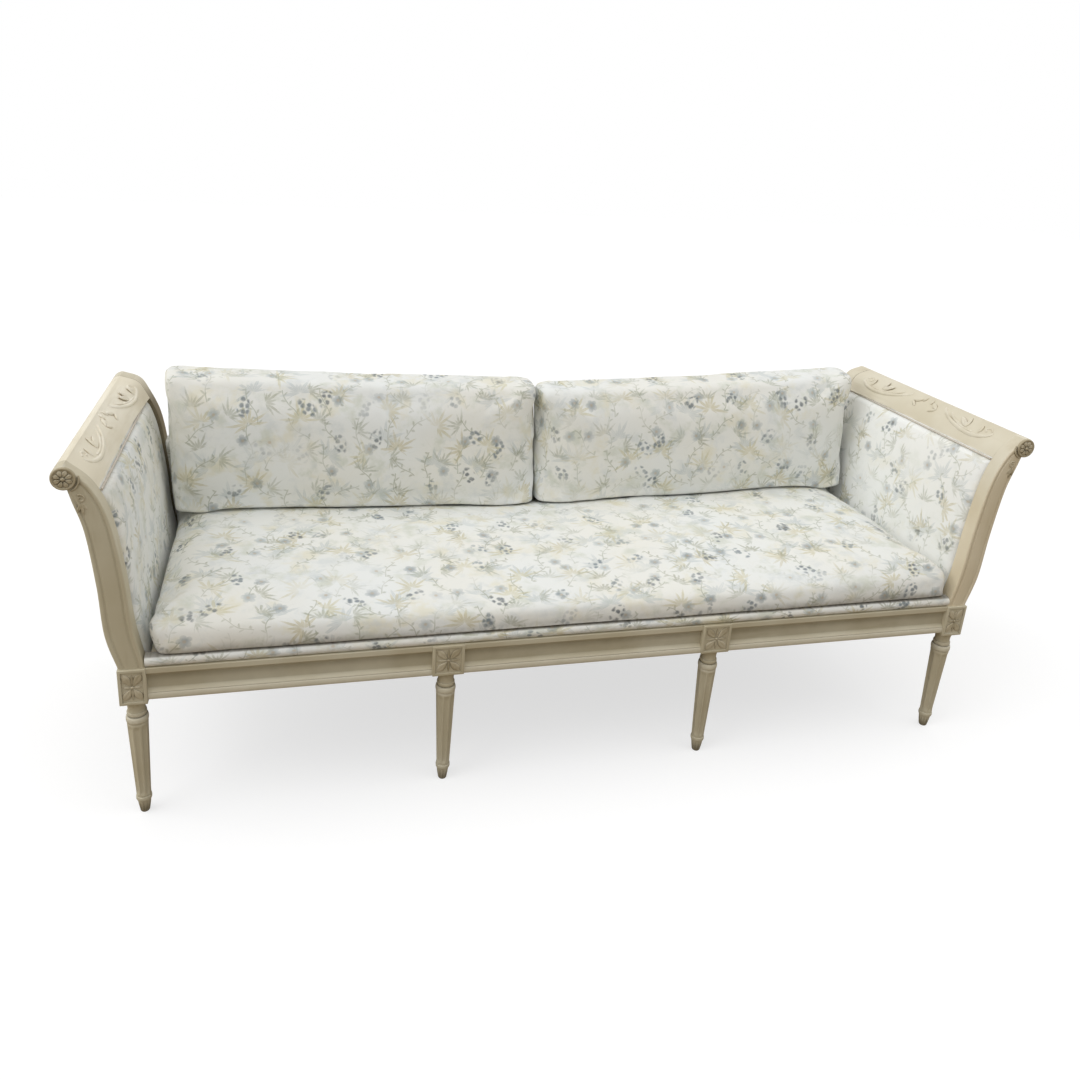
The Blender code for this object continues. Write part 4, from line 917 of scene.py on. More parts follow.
blockInner = carcass["cornerX"] - carcass["cornerBlock"] / 2
midHalf = carcass["midBlock"] / 2
spans = (
    ("left", -blockInner, -carcass["midX"] - midHalf),
    ("mid", -carcass["midX"] + midHalf, carcass["midX"] - midHalf),
    ("right", carcass["midX"] + midHalf, blockInner),
)
gap, legTop, railTop = carcass["gap"], carcass["legTop"], carcass["railTop"]
railOutline = [(carcass["front"] + railLook["setback"] + d, legTop + h) for d, h in frontRailOutline()]
railOuter = carcass["back"] - railLook["setback"]
for place, start, end in spans:
    steps = railLook["steps"]
    xs = [start + gap + (end - start - 2 * gap) * i / steps for i in range(steps + 1)]
    rings = [[(x, y, z) for y, z in railOutline] for x in xs]
    rail = loft(f"front_rail_{place}_moulded", rings, paintRail, 24)
    dress(rail, f"front_rail_{place}")
    planedRail(f"rear_rail_{place}", (start + gap, railOuter - railLook["thickness"], legTop),
               (end - gap, railOuter, railTop), paintAcross)
for side, sign in sides:
    middle, half = sign * carcass["cornerX"], railLook["sideThickness"] / 2
    reach = carcass["legY"] - carcass["blockDepth"] / 2 - gap
    low, high = (middle - half, -reach, legTop), (middle + half, reach, railTop)
    planedRail(f"side_rail_{side}", low, high, paintDeep)
print("rails done")


# arms: out-scrolled stiles and crests

armLook = {
    "scroll": (0.0915, 0.808), "radius": 0.0245, "tail": -100,
    "inner": ((-0.0268, 0.3773), (-0.010, 0.4701), (-0.001, 0.5899), (0.0165, 0.7149), (0.046, 0.7882),
              (0.0915, 0.8325)),
    "outer": ((0.0268, 0.3773), (0.0465, 0.4580), (0.0525, 0.5701), (0.0645, 0.6899), (0.0815, 0.7571)),
    "rearInner": ((-0.0268, 0.3773), (-0.0175, 0.4701), (-0.0130, 0.5899), (0.0030, 0.7149), (0.0318, 0.7882),
                  (0.0525, 0.8183), (0.0915, 0.8325)),
    "frontFace": -0.3495, "frontBack": -0.3135, "rearFace": 0.3015, "rearBack": 0.3535,
    "rearEdge": 0.008, "rearArris": 0.0015, "crestBottom": 0.772, "steps": 16, "arcSteps": 48,
    "shadeFaces": {"front": -0.5, "inner": -0.4, "above": 0.652},  # which faces of a rear stile get painted shade
}
mouldLook = {  # across the face of a front stile, in metres from its inner and outer edges
    "rows": 90, "innerRound": 0.0042, "innerValley": 0.0108, "outerRound": 0.0070, "outerValley": 0.0128,
    "valleyHalf": 0.0046, "valleyDeep": 0.0019, "crown": 0.0006, "scrollEdge": 0.0030,
    "fadeFrom": 0.86, "fadeTo": 0.97,
}
tailTurn = math.radians(armLook["tail"])
scrollTail = (armLook["scroll"][0] + armLook["radius"] * math.cos(tailTurn),
              armLook["scroll"][1] + armLook["radius"] * math.sin(tailTurn))
innerEdge = smoothCurve(armLook["inner"], armLook["steps"])
rearInnerEdge = smoothCurve(armLook["rearInner"], armLook["steps"])
outerEdge = smoothCurve((*armLook["outer"], scrollTail), armLook["steps"])
scrollArc = bow(armLook["scroll"], armLook["radius"], 90, armLook["tail"], armLook["arcSteps"])


def onArm(sign, offset, y, z):
    return (sign * (carcass["cornerX"] + offset), y, z)


def stileScroll(name, sign, outline, face, back, edge, material):
    shell = bmesh.new()
    front = [shell.verts.new(onArm(sign, o, face, z)) for o, z in outline]
    rear = [shell.verts.new(onArm(sign, o, back, z)) for o, z in outline]
    shell.faces.new(front)
    shell.faces.new(rear[::-1])
    for i in range(len(outline)):
        j = (i + 1) % len(outline)
        shell.faces.new((front[j], front[i], rear[i], rear[j]))
    bmesh.ops.recalc_face_normals(shell, faces=shell.faces)
    rim = [e for e in shell.edges if all(abs(v.co.y - face) < 1e-6 for v in e.verts)]
    bmesh.ops.bevel(shell, geom=rim, offset=edge, segments=4, profile=0.5, affect="EDGES")
    return addShell(name, shell, material, 35)


def evenly(curve, count):  # the same curve with points at even distances
    points = np.array(curve)
    run = np.concatenate(([0], np.cumsum(np.linalg.norm(np.diff(points, axis=0), axis=1))))
    goal = np.linspace(0, run[-1], count)
    return np.stack([np.interp(goal, run, points[:, k]) for k in range(2)], axis=1)


# distance from the inner edge and depth behind the face: bead, valley, crown, valley, bead
def mouldedFace(width, fade):
    look = mouldLook
    inner, outer = look["innerRound"], look["outerRound"]
    half, deep = look["valleyHalf"], look["valleyDeep"] * fade
    valley = [(half * i / 6, deep * (0.5 + 0.5 * math.cos(math.pi * i / 6))) for i in range(-6, 7)]
    start, end = look["innerValley"] + half, width - look["outerValley"] - half
    line = [(inner * (1 - math.cos(a)), inner * (1 - math.sin(a))) for a in quarterTurn(6)]
    line += [(look["innerValley"] + away, depth) for away, depth in valley]
    crown = look["crown"] * fade
    line += [(start + (end - start) * i / 10, -crown * math.sin(math.pi * i / 10)) for i in range(1, 10)]
    line += [(width - look["outerValley"] + away, depth) for away, depth in valley]
    line += [(width - outer * (1 - math.sin(a)), outer * (1 - math.cos(a))) for a in quarterTurn(8)]
    return line


def mouldedStile(name, sign, face, back, material):
    look = mouldLook
    rings = []
    for i, (near, far) in enumerate(zip(evenly(innerEdge, look["rows"]), evenly(outerEdge, look["rows"]))):
        t = i / (look["rows"] - 1)
        width = float(np.linalg.norm(far - near))
        across = (far - near) / width
        fade = 1 - eased((t - look["fadeFrom"]) / (look["fadeTo"] - look["fadeFrom"]))
        ring = []
        for away, depth in mouldedFace(width, fade):
            spot = near + across * away
            ring.append(onArm(sign, spot[0], face + depth, spot[1]))
        ring += [onArm(sign, far[0], back, far[1]), onArm(sign, near[0], back, near[1])]
        rings.append(ring)
    shaft = loft(name + "_shaft", rings, material, 40)
    return [shaft, stileScroll(name + "_scroll", sign, scrollArc, face, back, look["scrollEdge"], material)]


# plain in front, well rounded behind; the shaft, then the scroll as a fan
def rearStile(name, sign, face, back, material):
    arris, edge = armLook["rearArris"], armLook["rearEdge"]
    quarter = quarterTurn(6)
    rows = list(zip(evenly(rearInnerEdge, mouldLook["rows"]), evenly(outerEdge, mouldLook["rows"])))
    hub = (rows[-1][0] + rows[-1][1]) / 2
    fan = [(hub, np.array(spot)) for spot in scrollArc]
    innerFront = [(0.0, face + arris), (arris, face)]
    innerBack = [(edge * (1 - math.sin(a)), back - edge * (1 - math.cos(a))) for a in quarter]
    shaft = ("shaft", rows, innerFront, innerBack)
    scroll = ("scroll", fan, [(0.0, face)], [(0.0, back)])
    pieces = []
    for label, pairs, first, last in (shaft, scroll):
        rings = []
        for near, far in pairs:
            width = float(np.linalg.norm(far - near))
            line = [*first, (width - arris, face), (width, face + arris)]
            line += [(width - edge * (1 - math.cos(a)), back - edge * (1 - math.sin(a))) for a in quarter]
            spots = [(near + (far - near) / width * away, y) for away, y in line + last]
            rings.append([onArm(sign, spot[0], y, spot[1]) for spot, y in spots])
        pieces.append(loft(f"{name}_{label}", rings, material, 35, weld=True))
    return joinPieces(name + "_shaped", pieces)


rosetteLook = {
    "rim": 0.0228, "rounds": 48, "petals": 8,
    "petal": (0.0150, 0.0112, 0.0036), "petalFrom": 0.0040, "petalSink": 0.0014,
    "button": (0.0100, 0.0100, 0.0050), "buttonSink": 0.0012,
    # depth and share of the rim's radius, from the back of the disc to its middle
    "disc": ((0.006, 1.03), (0.0022, 1.03), (0.0006, 1.0), (0.0, 0.96), (0.0, 0.86), (0.0014, 0.80),
             (0.0016, 0.5), (0.0016, 0.02)),
}
voluteLook = {
    "hug": 0.0282, "hugFrom": 168, "hugTo": 248, "hugThick": 0.0026, "hugSteps": 24,
    "eye": (0.0640, 0.7655), "reach": 0.0088, "thick": 0.0024,
    "curlFrom": 60, "curlTurn": 420, "curlTaper": 0.78, "curlThin": 0.3, "curlSteps": 32,
    "leafSize": (0.0080, 0.0026), "leaves": ((-70, 0.022), (-98, 0.028), (-124, 0.020)),
}


def scrollRosette(name, sign):
    look = rosetteLook
    centre = Vector(onArm(sign, armLook["scroll"][0], carcass["front"], armLook["scroll"][1]))
    out, right, up = Vector((0, -1, 0)), Vector((1, 0, 0)), Vector((0, 0, 1))

    def ray(turn):
        return right * math.cos(turn) + up * math.sin(turn)

    turns = [2 * math.pi * i / look["rounds"] for i in range(look["rounds"])]
    disc = [[tuple(centre - out * depth + ray(a) * look["rim"] * share) for a in turns]
            for depth, share in look["disc"]]
    pieces = [loft(name + "_disc", disc, paintCarved, 50)]
    runs = [ray(2 * math.pi * (k + 0.5) / look["petals"]) for k in range(look["petals"])]
    sunk = centre - out * look["petalSink"]
    spots = [(sunk + run * look["petalFrom"], out, run, look["petal"]) for run in runs]
    pieces.append(scatter(name + "_petals", petal, spots, paintCarved))
    middle = centre - out * look["buttonSink"] - right * look["button"][0] / 2
    pieces.append(scatter(name + "_button", bud, [(middle, out, right, look["button"])], paintCarved))
    return pieces


def stileVolute(name, sign):  # a ridge round the rosette, a small curl under it and a leaf
    look, face = voluteLook, armLook["frontFace"]

    def around(centre, radius, degrees):
        turn = math.radians(degrees)
        return onArm(sign, centre[0] + radius * math.cos(turn), face, centre[1] + radius * math.sin(turn))

    hug, curl = [], []
    for i in range(look["hugSteps"] + 1):
        t = i / look["hugSteps"]
        thick = look["hugThick"] * (0.45 + 0.55 * math.sin(math.pi * (0.1 + 0.8 * t)))
        degrees = look["hugFrom"] + (look["hugTo"] - look["hugFrom"]) * t
        hug.append((around(armLook["scroll"], look["hug"], degrees), thick))
    for i in range(look["curlSteps"] + 1):
        t = i / look["curlSteps"]
        reach, degrees = look["reach"] * (1 - look["curlTaper"] * t), look["curlFrom"] + look["curlTurn"] * t
        curl.append((around(look["eye"], reach, degrees), look["thick"] * (1 - look["curlThin"] * t)))
    foot = Vector(onArm(sign, look["eye"][0], face, look["eye"][1] - look["reach"]))
    spots = []
    for degrees, long in look["leaves"]:
        turn = math.radians(degrees)
        run = Vector((sign * math.cos(turn), 0, math.sin(turn)))
        spots.append((foot, Vector((0, -1, 0)), run, (long, *look["leafSize"])))
    return [ridge(name + "_curl", [hug, curl], paintCarved, 8),
            scatter(name + "_leaf", leaf, spots, paintCarved)]


for side, sign in sides:
    name = f"arm_stile_front_{side}"
    stile = joinPieces(name + "_moulded", [
        *mouldedStile(name, sign, armLook["frontFace"], armLook["frontBack"], paintStile[side]),
        *scrollRosette(name + "_rosette", sign), *stileVolute(name + "_volute", sign)])
    dress(stile, name)
    name = f"arm_stile_rear_{side}"
    stile = rearStile(name, sign, armLook["rearFace"], armLook["rearBack"], paintStile[side])
    stile.data.materials.append(paintShaded)
    shaded = len(stile.data.materials) - 1
    shadeFaces = armLook["shadeFaces"]
    # painted shade on the rear stile's faces to the front, and on its inner faces above the low back
    for face in stile.data.polygons:
        inner = face.normal.x * sign < shadeFaces["inner"] and face.center.z > shadeFaces["above"]
        if inner or face.normal.y < shadeFaces["front"]:
            face.material_index = shaded
    dress(stile, name)
print("stiles done")

crestLook = {
    "start": -0.3132, "end": 0.3012, "lengthSteps": 60, "sink": 0.40, "flareFrom": 0.5, "flarePower": 1.75,
    "strandThin": 0.0022, "leafSink": 0.0002, "leafRise": 0.0042, "budRise": 0.0050,
    # each strand with its thickness
    "strands": (("outerScroll", 0.0064), ("innerScroll", 0.0044), ("tendril", 0.0038)),
    # one half of the carving as (distance from the middle along Y, distance up from the lower edge)
    "outerScroll": ((0.262, 0.055), (0.258, 0.047), (0.245, 0.038), (0.222, 0.031), (0.195, 0.029),
                    (0.160, 0.032), (0.125, 0.040), (0.095, 0.051), (0.074, 0.063), (0.070, 0.071)),
    "innerScroll": ((0.205, 0.037), (0.175, 0.037), (0.140, 0.044), (0.112, 0.054), (0.098, 0.064)),
    "tendril": ((0.255, 0.060), (0.246, 0.066), (0.236, 0.064), (0.234, 0.057), (0.241, 0.053)),
    "sprays": ((0.176, 0.043, 30, 0.044, 0.016), (0.176, 0.043, 76, 0.032, 0.013),
               (0.222, 0.041, 84, 0.026, 0.012)),
    "buds": ((0.048, 0.050, 150, 0.034, 0.016), (0.048, 0.050, 212, 0.026, 0.011),
             (0.016, 0.058, 100, 0.020, 0.011)),
}

crestLine = [(offsetAt(innerEdge, armLook["crestBottom"]), armLook["crestBottom"])]
crestLine += [p for p in innerEdge if p[1] > armLook["crestBottom"] + 0.0005]
crestRear = [(offsetAt(rearInnerEdge, z), z) for _, z in crestLine] + scrollArc[1:]
crestLine += scrollArc[1:]
crestRun = [0.0]
for (o0, z0), (o1, z1) in zip(crestLine, crestLine[1:]):
    crestRun.append(crestRun[-1] + math.hypot(o1 - o0, z1 - z0))


def crestAt(y):  # the outline swells towards the rear stile
    look = crestLook
    share = (y - look["start"]) / (look["end"] - look["start"])
    flare = max(0.0, (share - look["flareFrom"]) / (1 - look["flareFrom"])) ** look["flarePower"]
    return [(a + (b - a) * flare, z) for (a, z), (b, _) in zip(crestLine, crestRear)]


# a point on the crest, run metres up from its lower edge, with the ways outward and upward there
def onCrest(sign, y, run, lift):
    k = max(i for i, r in enumerate(crestRun[:-1]) if r <= max(run, 0.0))
    (o0, z0), (o1, z1) = crestAt(y)[k:k + 2]
    t = (run - crestRun[k]) / (crestRun[k + 1] - crestRun[k])
    ahead = Vector((o1 - o0, z1 - z0)).normalized()
    out = Vector((-ahead.y, ahead.x))
    spot = Vector((o0 + (o1 - o0) * t, z0 + (z1 - z0) * t)) + out * lift
    outward, upward = (Vector((sign * way.x, 0, way.y)) for way in (out, ahead))
    return Vector(onArm(sign, spot.x, y, spot.y)), outward, upward


def crestCarving(name, sign, material):
    look = crestLook
    paths, leafSpots, budSpots = [], [], []
    for half in (-1, 1):
        for key, thick in look["strands"]:
            line = smoothCurve(look[key], 8)
            path = []
            for i, (away, run) in enumerate(line):
                swell = math.sin(math.pi * (0.06 + 0.88 * i / (len(line) - 1)))
                radius = look["strandThin"] + (thick - look["strandThin"]) * swell
                path.append((onCrest(sign, half * away, run, -look["sink"] * radius)[0], radius))
            paths.append(path)
        sprays = ("sprays", leafSpots, look["leafRise"], -half)
        buds = ("buds", budSpots, look["budRise"], half)
        for key, spots, rise, way in (sprays, buds):
            for away, run, angle, long, wide in look[key]:
                spot, out, ahead = onCrest(sign, half * away, run, -look["leafSink"])
                turn = math.radians(angle)
                along = Vector((0, way, 0)) * math.cos(turn) + ahead * math.sin(turn)
                spots.append((spot, out, along, (long, wide, rise)))
    return [ridge(name + "_strands", paths, material, 10),
            scatter(name + "_leaves", leaf, leafSpots, material),
            scatter(name + "_buds", bud, budSpots, material)]


crestYs = [crestLook["start"] + (crestLook["end"] - crestLook["start"]) * i / crestLook["lengthSteps"]
           for i in range(crestLook["lengthSteps"] + 1)]
for side, sign in sides:
    name = f"arm_crest_{side}"
    rings = [[onArm(sign, o, y, z) for o, z in crestAt(y)] for y in crestYs]
    board = loft(name + "_board", rings, paintCrest[side], 35)
    crest = joinPieces(name + "_carved", [board, *crestCarving(name + "_carving", sign, paintCrest[side])])
    dress(crest, name)
print("crests done")


# tight upholstery: arm pads, edge roll, low back and deck

def readSpots(data):
    flat = np.empty(len(data.vertices) * 3)
    data.vertices.foreach_get("co", flat)
    return flat.reshape(-1, 3)


# cut is where on the printed cloth the piece starts; plan gives two flat lengths for each corner of each face
def layCloth(piece, cut, plan):
    data = piece.data
    layer = data.uv_layers.get("cloth") or data.uv_layers.new(name="cloth")
    corner = np.empty(len(data.loops), dtype=np.int64)
    data.loops.foreach_get("vertex_index", corner)
    normals = np.empty(len(data.polygons) * 3)
    data.polygons.foreach_get("normal", normals)
    sizes = np.empty(len(data.polygons), dtype=np.int64)
    data.polygons.foreach_get("loop_total", sizes)
    facing = np.repeat(normals.reshape(-1, 3), sizes, axis=0)
    flat = np.stack(plan(readSpots(data)[corner], facing), axis=1) + cut
    layer.data.foreach_set("uv", np.ascontiguousarray(flat, dtype=np.float32).ravel())


padLook = {
    "bottom": 0.382, "top": 0.7717, "proud": 0.010, "backing": 0.0148, "clear": 0.0004, "ripple": 0.0007,
    "edge": 0.034, "topEdge": 0.013, "topGroove": 0.0072, "rows": 70, "topRows": 24, "columns": 90,
    "cut": {"left": (-1.7, 0.11), "right": (1.7, 0.11)},
    "welt": 0.0025, "weltDrop": 0.0032, "weltLift": 0.0030, "weltStray": 0.0003, "weltSteps": 120,
    "weltCut": (0.4, 0.05), "weltStretch": 1.2,
}


def armPad(side, sign):
    look = padLook
    start, end = crestLook["start"] + look["clear"], crestLook["end"] - look["clear"]
    rows, topRows, columns = look["rows"], look["topRows"], look["columns"]
    turn = look["top"] - look["topEdge"] * 2
    heights = [look["bottom"] + (turn - look["bottom"]) * i / rows for i in range(rows)]
    heights += [look["top"] - look["topEdge"] * 2 * (1 - i / topRows) for i in range(topRows + 1)]
    rings, runs = [], []
    run, last = 0.0, None
    for z in heights:
        offset = offsetAt(innerEdge, z)
        run += 0.0 if last is None else math.hypot(offset - last[0], z - last[1])
        last = (offset, z)
        runs.append(run)
        top = rounded(look["top"] - look["topGroove"] - z, look["topEdge"])
        ring = []
        for j in range(columns + 1):
            y = start + (end - start) * j / columns
            ends = rounded(y - start, look["edge"]) * rounded(end - y, look["edge"])
            puff = 0.82 + 0.18 * math.sin(math.pi * (y - start) / (end - start))
            ripple = look["ripple"] * noise.noise(Vector((y * 9, z * 14, sign * 3.0)))
            ring.append(onArm(sign, offset - ends * (look["proud"] * top * puff + ripple), y, z))
        ring += [onArm(sign, offset + look["backing"], y, z) for y in (end, start)]
        rings.append(ring)
    pad = loft(f"arm_pad_{side}_stuffed", rings, printArm[side], 60)
    layCloth(pad, look["cut"][side], lambda spot, facing: (
        spot[:, 1] * sign, np.interp(spot[:, 2], heights, runs)))
    dress(pad, f"arm_pad_{side}")
    z = look["top"] - look["weltDrop"]  # a cord under the crest
    offset = offsetAt(innerEdge, z) - look["weltLift"]
    cord = []
    for k in range(look["weltSteps"] + 1):
        stray = look["weltStray"] * noise.noise(Vector((k * 0.9, 2.0, sign)))
        y = start + (end - start) * k / look["weltSteps"]
        cord.append((onArm(sign, offset + stray, y, z), look["welt"]))
    welt = ridge(f"arm_welt_{side}", [cord], weltCotton, 12)
    layCloth(welt, look["weltCut"], lambda spot, facing: (spot[:, 1], spot[:, 2] * look["weltStretch"]))
    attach(welt, "frame")


for side, sign in sides:
    armPad(side, sign)
print("arm pads done")

rollLook = {
    "half": 0.9729, "front": -0.3515, "depth": 0.024, "low": 0.3773, "high": 0.4021,
    "steps": 240, "rounds": 20, "ripple": 0.0006, "cut": (0.31, 0.2), "stretch": 1.5,
}


def edgeRoll():
    look = rollLook
    front, rear, low, high = look["front"], look["front"] + look["depth"], look["low"], look["high"]
    turns = [math.pi * (i / look["rounds"] - 0.5) for i in range(look["rounds"] + 1)]
    rings = []
    for k in range(look["steps"] + 1):
        x = -look["half"] + 2 * look["half"] * k / look["steps"]
        swell = look["ripple"] * noise.noise(Vector((x * 16, 0.3, 2.0)))
        ring = []
        for a in turns:
            y = front + look["depth"] / 2 * (1 - math.cos(a)) - swell * math.cos(a)
            ring.append((x, y, (low + high) / 2 + (high - low) / 2 * math.sin(a)))
        rings.append([*ring, (x, rear, high), (x, rear, low)])
    roll = loft("front_edge_roll_stuffed", rings, printRoll, 60)
    layCloth(roll, look["cut"], lambda spot, facing: (spot[:, 0], spot[:, 2] * look["stretch"]))
    dress(roll, "front_edge_roll")


edgeRoll()

backLook = {
    "front": 0.292, "rear": 0.3258, "low": 0.382, "high": 0.6516, "edge": 0.016, "columns": 160, "rows": 24,
    "puff": 0.0015, "puffEdge": 0.03, "railTop": 0.6503, "flapRear": 0.3508, "flapEdge": (0.0006, 0.0004),
    "clear": 0.0008, "padClear": 0.0005, "cut": (2.3, 0.4),
}


def lowBack():  # upright pad with ends that follow the arms; its cover turns over the top rail
    look = backLook
    front, edge, high, low = look["front"] + look["puff"], look["edge"], look["high"], look["low"]
    rear, flap, railTop, fade = look["rear"], look["flapRear"], look["railTop"], look["puffEdge"]
    inward, down = look["flapEdge"]
    profile = [(rear, low), (rear, railTop), (flap, railTop), (flap, high - down), (flap - inward, high)]
    turn = high - edge
    profile += [(front + edge - edge * math.sin(a), turn + edge * math.cos(a)) for a in quarterTurn(10)]
    profile += [(front, turn - (turn - low) * i / look["rows"]) for i in range(1, look["rows"] + 1)]
    rings = []
    for k in range(look["columns"] + 1):
        t = 2 * k / look["columns"] - 1
        ring = []
        for y, z in profile:
            height = max(z, padLook["bottom"])
            atPad = offsetAt(innerEdge, height) - padLook["proud"] - look["padClear"]
            atStile = offsetAt(rearInnerEdge, height) - look["clear"]
            puff = look["puff"] * eased((z - low) / fade) * eased((high - z) / fade) * (1 - t ** 8)
            half = carcass["cornerX"] + min(atPad, atStile)
            ring.append((t * half, y - puff if y < front + edge else y, z))
        rings.append(ring)
    pad = loft("back_pad_stuffed", rings, printCloth, 50)
    layCloth(pad, look["cut"], lambda spot, facing: (spot[:, 0], spot[:, 2] - spot[:, 1]))
    dress(pad, "back_pad")


lowBack()

deckLook = {
    "half": 0.9638, "front": -0.3268, "rear": 0.2914, "low": 0.3825, "high": 0.4020,
    "columns": 140, "rows": 46, "edge": 0.008, "dip": 0.002, "dipEdge": 0.06,
}


def deckPad():
    look = deckLook
    shell = bmesh.new()
    bmesh.ops.create_grid(shell, x_segments=look["columns"], y_segments=look["rows"], size=1)
    for v in shell.verts:
        x = v.co.x * look["half"]
        y = look["front"] + (v.co.y + 1) / 2 * (look["rear"] - look["front"])
        rim = min(look["half"] - abs(x), y - look["front"], look["rear"] - y)
        wave = 0.5 + 0.5 * noise.noise(Vector((x * 5, y * 5, 1.0)))
        dip = look["dip"] * wave * eased(rim / look["dipEdge"])
        v.co = (x, y, look["high"] - look["edge"] * (1 - rounded(rim, look["edge"])) - dip)
    made = bmesh.ops.extrude_edge_only(shell, edges=[e for e in shell.edges if e.is_boundary])["geom"]
    for v in [g for g in made if isinstance(g, bmesh.types.BMVert)]:
        v.co.z = look["low"]
    bmesh.ops.holes_fill(shell, edges=[e for e in shell.edges if e.is_boundary])
    pad = addShell("deck_pad_quilted", shell, deckCotton, 60)
    dress(pad, "deck_pad")


deckPad()
print("low back, edge roll and deck done")


# outside covers and dust cover: cloth stretched over the frame

coverLook = {
    "low": 0.3826, "high": 0.7812, "clear": 0.0006, "thick": 0.0016, "inset": 0.0048, "belly": 0.0012,
    "rows": 40, "columns": 60, "cut": (3.1, 0.23),
}


def coverSheet(name, grid, cut, across):  # across is the axis that runs along the sheet
    columns = len(grid[0])
    faces = [(at, at + 1, at + columns + 1, at + columns)
             for r in range(len(grid) - 1) for at in range(r * columns, (r + 1) * columns - 1)]
    data = bpy.data.meshes.new(name)
    data.from_pydata([spot for row in grid for spot in row], [], faces)
    cover = addMesh(name, data, printCloth, 60)
    thicken(cover, coverLook["thick"])
    layCloth(cover, cut, lambda spot, facing: (-spot[:, across], spot[:, 2]))
    return cover


def armSheet(side, sign):
    look = coverLook
    start, end = crestLook["start"] + look["clear"], crestLook["end"] - look["clear"]
    grid, length, last = [], 0.0, None
    for i in range(look["rows"] + 1):
        z = look["low"] + (look["high"] - look["low"]) * i / look["rows"]
        offset = offsetAt(outerEdge, z) - look["inset"]
        length += 0.0 if last is None else math.hypot(offset - last[0], z - last[1])
        last = (offset, z)
        row = []
        for j in range(look["columns"] + 1):
            t = j / look["columns"]
            belly = look["belly"] * math.sin(math.pi * t) * math.sin(math.pi * i / look["rows"])
            row.append(onArm(sign, offset - belly, start + (end - start) * t, z))
        grid.append(row)
    cover = coverSheet(f"arm_outer_cover_{side}", grid, look["cut"], 1)
    dress(cover, f"arm_outer_panel_{side}")


for side, sign in sides:
    armSheet(side, sign)

backCover = {
    "y": 0.3522, "low": 0.3776, "high": 0.6512, "clear": 0.0008, "belly": 0.0012, "rows": 40, "columns": 160,
    "cut": (5.3, 0.6),
}


def backSheet():
    look = backCover
    tall = look["high"] - look["low"]
    grid, area, widest = [], 0.0, 0.0
    for i in range(look["rows"] + 1):
        z = look["low"] + tall * i / look["rows"]
        half = carcass["cornerX"] + offsetAt(rearInnerEdge, z) - look["clear"]
        widest = max(widest, 2 * half)
        area += 2 * half * tall / (look["rows"] + 1)
        row = []
        for j in range(look["columns"] + 1):
            t = 2 * j / look["columns"] - 1
            belly = look["belly"] * (1 - t ** 6) * math.sin(math.pi * i / look["rows"])
            row.append((t * half, look["y"] - belly, z))
        grid.append(row)
    cover = coverSheet("back_outer_cover", grid, look["cut"], 0)
    dress(cover, "back_outer_panel")


backSheet()

dustLook = {
    "low": 0.2984, "thick": 0.0010, "side": 0.993, "edge": 0.3420,
    # cut out around the leg blocks
    "notch": 0.2949, "cornerNotch": 0.9697, "nearNotch": 0.2903, "farNotch": 0.3677,
    "sag": 0.004, "wave": 0.0012, "sagEdge": (0.2, 0.12), "cuts": 6,
}


def dustCover():
    look = dustLook
    marks = (look["side"], look["cornerNotch"], look["farNotch"], look["nearNotch"])
    xs = sorted({sign * x for side, sign in sides for x in marks})
    ys = (-look["edge"], -look["notch"], look["notch"], look["edge"])
    shell = bmesh.new()
    grid = {}

    def corner(x, y):
        if (x, y) not in grid:
            grid[(x, y)] = shell.verts.new((x, y, look["low"]))
        return grid[(x, y)]

    for x0, x1 in zip(xs, xs[1:]):
        for y0, y1 in zip(ys, ys[1:]):
            middle = abs(x0 + x1) / 2
            onLeg = middle > look["cornerNotch"] or look["nearNotch"] < middle < look["farNotch"]
            if onLeg and abs(y0 + y1) / 2 > look["notch"]:
                continue
            shell.faces.new([corner(x0, y0), corner(x1, y0), corner(x1, y1), corner(x0, y1)])
    bmesh.ops.subdivide_edges(shell, edges=shell.edges[:], cuts=look["cuts"], use_grid_fill=True)
    endEdge, frontEdge = look["sagEdge"]
    for v in shell.verts:
        x, y = v.co.x, v.co.y
        inside = eased((look["side"] - abs(x)) / endEdge) * eased((look["notch"] - abs(y)) / frontEdge)
        v.co.z -= inside * (look["sag"] + look["wave"] * noise.noise(Vector((x * 4, y * 4, 0.5))))
    area = sum(f.calc_area() for f in shell.faces)
    cover = addShell("dust_cover_cloth", shell, blackCambric, 60)
    thicken(cover, look["thick"])
    dress(cover, "dust_cover")


dustCover()
print("covers done")


# hidden frame wood and webbing keep their solids

hiddenWood = {
    "webbing": jute, "seat_brace": beechDeep, "arm_tack_rail": beechDeep,
    "back_post": beechUpright, "corner_block": beechUpright, "back_top_rail": beechAcross,
}
for node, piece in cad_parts.items():
    for start, material in hiddenWood.items():
        if node.startswith(start):
            for slot in piece.material_slots:
                slot.material = material
            if not piece.material_slots:
                piece.data.materials.append(material)


# loose cushions: swollen by a cloth simulation, then creased

